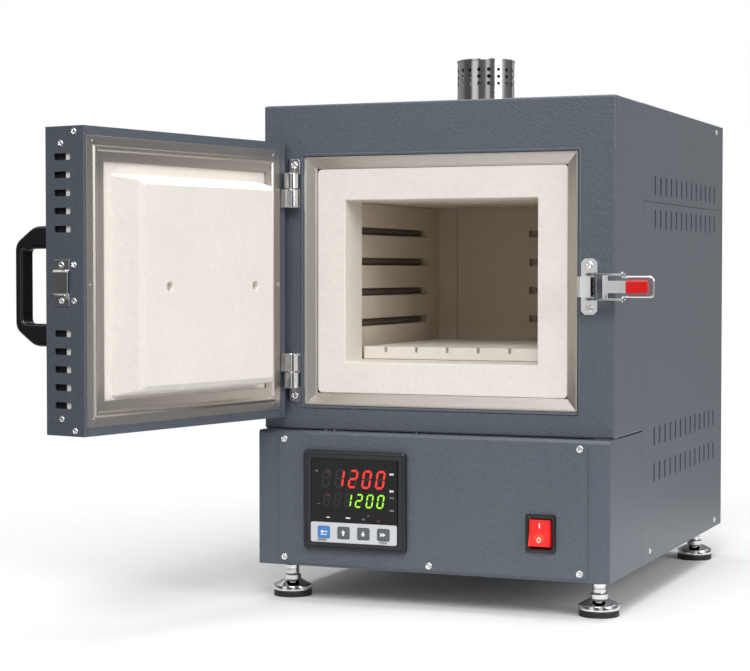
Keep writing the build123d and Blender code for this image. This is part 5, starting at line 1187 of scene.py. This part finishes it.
class FURNACE_OT_latch(FurnaceStep, Operator):
    """Toggle latch: base with saddle, forked lever, red grip and wire bail"""

    bl_idname = "furnace.latch"
    bl_label = "Latch"

    def execute(self, context):
        dressed("latch_base", "bright_steel", 0.5, 3)
        dressed("latch_lever", "bright_steel", 0.5, 3)
        low, high = limits("latch_grip")
        x, z = (low[0], high[0]), (low[2], high[2])
        middle = (low[1] + high[1]) / 2
        grip = plate([rectangle(x, z, 2.2, 6)], low[1], high[1], 1.6, 4)

        def tapered(points):
            """The grip thins slightly towards its free end."""
            share = (points[:, 0] - x[0]) / (x[1] - x[0])
            depth = middle + (points[:, 1] - middle) * (1 - 0.22 * share)
            return np.stack([points[:, 0], depth, points[:, 2]], -1)

        put("latch_grip_cover", grip.warped(tapered), "red_grip", "latch_lever", ("latch_grip",),
            weighted=True)
        low, high = limits("latch_bail")
        centre_z = (low[2] + high[2]) / 2
        radius = (high[1] - low[1]) / 2
        y = (low[1] + high[1]) / 2
        pivot_x, end_x = low[0] + radius, high[0] - radius
        half_out, half = (high[2] - low[2]) / 2 - radius * 0.6, 8.9
        corners = [(pivot_x, -half_out), (pivot_x, -half), (end_x, -half), (end_x, half), (pivot_x, half),
                   (pivot_x, half_out)]
        bend = (0, 1.4, 4.0, 4.0, 1.4, 0)
        path = open_path(corners, bend)
        points = np.stack([path[:, 0], np.full(len(path), y), path[:, 1] + centre_z], -1)
        put("latch_bail_wire", wire(points, radius, (0, 1, 0), 14), "bright_steel", "latch_bail", ("latch_bail",),
            smooth=50)
        return {"FINISHED"}


def open_path(corners, radii, steps=7):
    """Open line with rounded corners, each the curve (1-t)^2 a + 2t(1-t) c + t^2 b, with points along the runs."""
    corners = np.asarray(corners, float)
    pieces = [corners[:1]]
    t = np.linspace(0, 1, steps)[:, None]
    for before, here, after, radius in zip(corners[:-2], corners[1:-1], corners[2:], radii[1:-1]):
        start = here + (before - here) / np.linalg.norm(before - here) * radius
        end = here + (after - here) / np.linalg.norm(after - here) * radius
        pieces.append((1 - t) ** 2 * start + 2 * t * (1 - t) * here + t ** 2 * end)
    pieces.append(corners[-1:])
    return np.concatenate(pieces)


class FURNACE_OT_door(FurnaceStep, Operator):
    """Door: tray, mitred steel frame, ceramic slab and plug, handle and keeper"""

    bl_idname = "furnace.door"
    bl_label = "Door"

    def execute(self, context):
        dressed("door_tray", "slate_paint", sizes().edge / MM * 1.2, 2)
        low, high = limits("door_inner_frame")
        back = low[1]
        profile = [(0.0, back), (0.0, back + 0.35), (0.25, back + 0.6), (7.6, back + 0.6), (8.4, back + 0.9),
                   (9.2, back + 1.5), (9.9, back + 1.75), (11.4, back + 1.75), (12.2, back + 1.5), (13.1, back + 0.8),
                   (14.0, back + 0.55), (21.4, back + 0.55), (22.0, back + 0.3), (22.0, back)]
        put("door_frame_strips", mitred((low[0], high[0]), (low[2], high[2]), profile), "stainless_strip", "door",
            ("door_inner_frame",), smooth=25, weighted=True)
        low, high = limits("door_slab")
        put("door_board", plate([rectangle((low[0], high[0]), (low[2], high[2]), 1.0)], low[1], high[1], 0.6),
            "ceramic_board", "door", ("door_slab",), weighted=True)
        self.plug()
        self.handle()
        self.keeper()
        return {"FINISHED"}

    def plug(self):
        """Raised block: stacked rounded rectangles that draw in towards a bevelled face, most on the free edge, with two blind holes."""
        low, high = limits("door_plug")
        face, root = high[1], low[1]
        draft, free_draft, bevel, round_off = 4.5, 12.4, 4.3, 0.7
        steps = ((0.0, root), (1.0, face - bevel - round_off), (1.0, face - bevel), (1.0, face - bevel + round_off),
                 (1.0, face - round_off), (1.0, face))
        drawn = (0.0, -0.15, round_off * 0.35, round_off + 0.35, bevel - round_off * 0.35, bevel + round_off)
        loops, levels = [], []
        for (share, depth), extra in zip(steps, drawn):
            x = (low[0] + extra, high[0] - free_draft * share - extra)
            z = (low[2] + draft * share + extra, high[2] - draft * share - extra)
            loops.append(rectangle(x, z, 2.5, 6))
            levels.append((0, 0, depth))
        count = len(loops[0])
        points = np.concatenate([onto(a[:, 0], a[:, 1], lv[2], "front") for a, lv in zip(loops, levels)])
        faces = [net(len(loops), count, wrap_columns=True), filled([loops[0]], [0])]
        collar_low, collar_high = limits("mouth_block")
        middle = (collar_low[0] + collar_high[0]) / 2 - 10.0
        height = (collar_low[2] + collar_high[2]) / 2 - 4.0
        mouths, starts = [loops[-1]], [(len(loops) - 1) * count]
        block = Surface(points, faces)
        for side in (-1, 1):
            centre = (middle + side * 61.75, height)
            rings = [circle(*centre, r, 24)[::-1] for r in (5.0, 4.4, 4.1, 3.8, 0.01)]
            depth = (face, face - 0.5, face - 1.4, face - 6.0, face - 6.4)
            starts.append(len(block.points))
            mouths.append(rings[0])
            block = block + stacked(rings, depth, close=False)
        block.faces.append(filled(mouths, starts))
        put("door_plug_block", block, "ceramic_board", "door", ("door_plug",), weighted=True)

    def handle(self):
        """Bridge handle: its outline is carried across the width with a generous rounding."""
        low, high = limits("door_handle")
        y_far, y_near = low[1], high[1]
        z = (low[2], high[2])
        leg, bar, shoulder, slope = 20.0, 10.0, 22.0, 15.0
        foot = y_near + 1.2
        outline = [(foot, z[0]), (foot, z[0] + leg), (y_far + bar, z[0] + leg), (y_far + bar, z[1] - leg),
                   (foot, z[1] - leg), (foot, z[1]), (y_near - shoulder, z[1]), (y_far, z[1] - slope),
                   (y_far, z[0] + slope), (y_near - shoulder, z[0])]
        outline = softened(outline, (0.1, 0.1, 5, 5, 0.1, 0.1, 7, 7, 7, 7), 6)
        grip = plate([outline], low[0], high[0], sizes().handle_edge / MM, 5, facing="side")
        put("door_handle_grip", grip, "black_gloss", "door", ("door_handle",), weighted=True)

    def keeper(self):
        """Pressed keeper: end lugs flat on the door edge and a raised bridge between them."""
        low, high = limits("door_strike")
        dressed("door_strike", "bright_steel", 0.45, 3)


class FURNACE_OT_screws(FurnaceStep, Operator):
    """Cross-recessed screw heads on the cabinet and the door"""

    bl_idname = "furnace.screws"
    bl_label = "Screws"

    def execute(self, context):
        put("cabinet_screw_heads", screws("cabinet_screws"), "bright_steel", "cabinet", ("cabinet_screws",),
            smooth=40)
        put("door_screw_heads", screws("door_screws"), "bright_steel", "door", ("door_screws",),
            smooth=40)
        return {"FINISHED"}


class FURNACE_OT_rear(FurnaceStep, Operator):
    """Mains inlet on the rear panel"""

    bl_idname = "furnace.rear"
    bl_label = "Rear fittings"

    def execute(self, context):
        dressed("mains_inlet", "black_gloss", 0.5, 3)
        return {"FINISHED"}


class FURNACE_OT_stage(FurnaceStep, Operator):
    """Pale floor, soft lamps, surroundings and camera"""

    bl_idname = "furnace.stage"
    bl_label = "Stage"

    def execute(self, context):
        scene = context.scene
        scene.view_settings.view_transform = "Standard"
        self.floor()
        self.surroundings(scene)
        centre = Vector((ORIGIN[0], ORIGIN[1] + 0.2, 0.27))
        self.lamp("key_lamp", centre + Vector((0.5, -2.2, 1.7)), centre, 1.3, 42.0)
        self.lamp("side_lamp", centre + Vector((2.4, -0.9, 0.9)), centre, 1.3, 26.0)
        self.lamp("top_lamp", centre + Vector((0.0, 0.1, 2.4)), centre, 1.6, 40.0)
        camera = bpy.data.objects.new("camera", bpy.data.cameras.new("camera"))
        scene.collection.objects.link(camera)
        camera.data.lens = CAMERA_FOCUS
        camera.data.sensor_width = 36.0
        camera.data.clip_start = 0.05
        turn = Matrix.Rotation(math.radians(CAMERA_TURN), 4, "Z")
        tilt = Matrix.Rotation(math.radians(90 + CAMERA_TILT), 4, "X")
        place = Matrix.Translation(Vector(np.array(CAMERA_PLACE) * MM + ORIGIN))
        camera.matrix_world = place @ turn @ tilt
        scene.camera = camera
        return {"FINISHED"}

    def lamp(self, name, place, target, size, power):
        """A square soft lamp aimed at a point."""
        data = bpy.data.lights.new(name, "AREA")
        data.shape, data.size, data.energy = "SQUARE", size, power
        lamp = bpy.data.objects.new(name, data)
        bpy.context.scene.collection.objects.link(lamp)
        lamp.location = place
        lamp.rotation_euler = (target - place).to_track_quat("-Z", "Y").to_euler()

    def floor(self):
        """Pale floor that keeps the shadow and fades into the white round it."""
        reach = 1.5
        mesh = bpy.data.meshes.new("floor")
        mesh.from_pydata([(-reach, -reach, 0), (reach, -reach, 0), (reach, reach, 0), (-reach, reach, 0)], [],
                         [(0, 1, 2, 3)])
        made = bpy.data.materials.new("floor_white")
        made.use_nodes = True
        tree = made.node_tree
        shader = tree.nodes["Principled BSDF"]
        shader.inputs["Base Color"].default_value = (0.95, 0.95, 0.95, 1)
        shader.inputs["Roughness"].default_value = 0.9
        shader.inputs["Specular IOR Level"].default_value = 0.1
        place = wired(tree, "ShaderNodeTexCoord").outputs["Object"]
        middle = (ORIGIN[0], ORIGIN[1] + 0.22, 0)
        reach_out = wired(tree, "ShaderNodeVectorMath", {0: place, 1: middle}, operation="DISTANCE")
        fade = wired(tree, "ShaderNodeMapRange", {"Value": reach_out.outputs["Value"], "From Min": 0.42, "From Max": 0.85},
                     interpolation_type="SMOOTHSTEP")
        clear = wired(tree, "ShaderNodeBsdfTransparent")
        mixed = wired(tree, "ShaderNodeMixShader", {0: fade.outputs[0], 1: shader.outputs[0], 2: clear.outputs[0]})
        tree.links.new(mixed.outputs[0], tree.nodes["Material Output"].inputs["Surface"])
        mesh.materials.append(made)
        floor = bpy.data.objects.new("floor", mesh)
        bpy.context.scene.collection.objects.link(floor)

    def surroundings(self, scene):
        """Even studio light, white to the camera; mirrors see a white ceiling panel, tall white screens and dark gaps."""
        world = scene.world or bpy.data.worlds.new("studio")
        scene.world = world
        world.use_nodes = True
        tree = world.node_tree
        tree.nodes.clear()
        seen = wired(tree, "ShaderNodeLightPath")
        place = wired(tree, "ShaderNodeTexCoord").outputs["Generated"]
        parts = wired(tree, "ShaderNodeSeparateXYZ", {0: place})
        heading = math_node(tree, "ARCTAN2", parts.outputs["Y"], parts.outputs["X"])
        share = math_node(tree, "ADD", math_node(tree, "DIVIDE", heading, 2 * math.pi), 0.5)
        screens = wired(tree, "ShaderNodeValToRGB", {"Fac": share})
        stops = ((0.0, 0.30), (0.05, 0.12), (0.13, 0.10), (0.155, 1.0), (0.20, 1.0), (0.225, 0.12), (0.29, 0.16),
                 (0.31, 0.75), (0.335, 0.75), (0.36, 0.10), (0.43, 0.20), (0.455, 1.0), (0.50, 0.85), (0.54, 0.25),
                 (0.66, 0.12), (0.70, 0.8), (0.74, 0.15), (0.88, 0.4), (1.0, 0.30))
        ramp = screens.color_ramp
        ramp.elements[0].position, ramp.elements[1].position = stops[0][0], stops[-1][0]
        for position, _ in stops[1:-1]:
            ramp.elements.new(position)
        for element, (_, grey) in zip(ramp.elements, stops):
            element.color = (grey, grey, grey, 1)
        above = wired(tree, "ShaderNodeMapRange", {"Value": parts.outputs["Z"], "From Min": 0.45, "From Max": 0.7})
        ceiling = wired(tree, "ShaderNodeMix", {0: above.outputs[0], 6: screens.outputs["Color"], 7: (0.9, 0.9, 0.9, 1)},
                        data_type="RGBA")
        even = wired(tree, "ShaderNodeBackground", {"Color": (1, 1, 1, 1), "Strength": 0.34})
        mirror = wired(tree, "ShaderNodeBackground", {"Color": ceiling.outputs[2], "Strength": 0.9})
        white = wired(tree, "ShaderNodeBackground", {"Color": (1, 1, 1, 1), "Strength": 1.0})
        glossy = wired(tree, "ShaderNodeMixShader", {0: seen.outputs["Is Glossy Ray"], 1: even.outputs[0], 2: mirror.outputs[0]})
        shown = wired(tree, "ShaderNodeMixShader", {0: seen.outputs["Is Camera Ray"], 1: glossy.outputs[0], 2: white.outputs[0]})
        out = tree.nodes.new("ShaderNodeOutputWorld")
        tree.links.new(shown.outputs[0], out.inputs["Surface"])


STEPS = (
    FURNACE_OT_cabinet, FURNACE_OT_inside, FURNACE_OT_opening, FURNACE_OT_chamber, FURNACE_OT_flue,
    FURNACE_OT_controller, FURNACE_OT_display, FURNACE_OT_switch, FURNACE_OT_feet, FURNACE_OT_hinges,
    FURNACE_OT_latch, FURNACE_OT_door, FURNACE_OT_screws, FURNACE_OT_rear, FURNACE_OT_stage,
)


class FURNACE_PT_sidebar(Panel):
    """Lists the pieces and their settings"""

    bl_idname = "FURNACE_PT_sidebar"
    bl_label = "Furnace"
    bl_space_type = "VIEW_3D"
    bl_region_type = "UI"
    bl_category = "Furnace"

    def draw(self, context):
        layout = self.layout
        for step in STEPS:
            layout.operator(step.bl_idname)
        for settings in (context.scene.furnace_sizes, context.scene.furnace_colours):
            box = layout.box()
            for key in settings.__annotations__:
                box.prop(settings, key)


def register():
    """Adds the settings, operators and panel."""
    for part in (FurnaceColours, FurnaceSizes) + STEPS + (FURNACE_PT_sidebar,):
        bpy.utils.register_class(part)
    bpy.types.Scene.furnace_colours = PointerProperty(type=FurnaceColours)
    bpy.types.Scene.furnace_sizes = PointerProperty(type=FurnaceSizes)


def unregister():
    """Takes them away again."""
    del bpy.types.Scene.furnace_colours
    del bpy.types.Scene.furnace_sizes
    for part in (FURNACE_PT_sidebar,) + STEPS[::-1] + (FurnaceSizes, FurnaceColours):
        bpy.utils.unregister_class(part)


def main():
    """Registers the settings and operators, then builds every piece and the stage."""
    register()
    for step in STEPS:
        group, call = step.bl_idname.split(".")
        getattr(getattr(bpy.ops, group), call)()


if __name__ == "__main__":
    main()
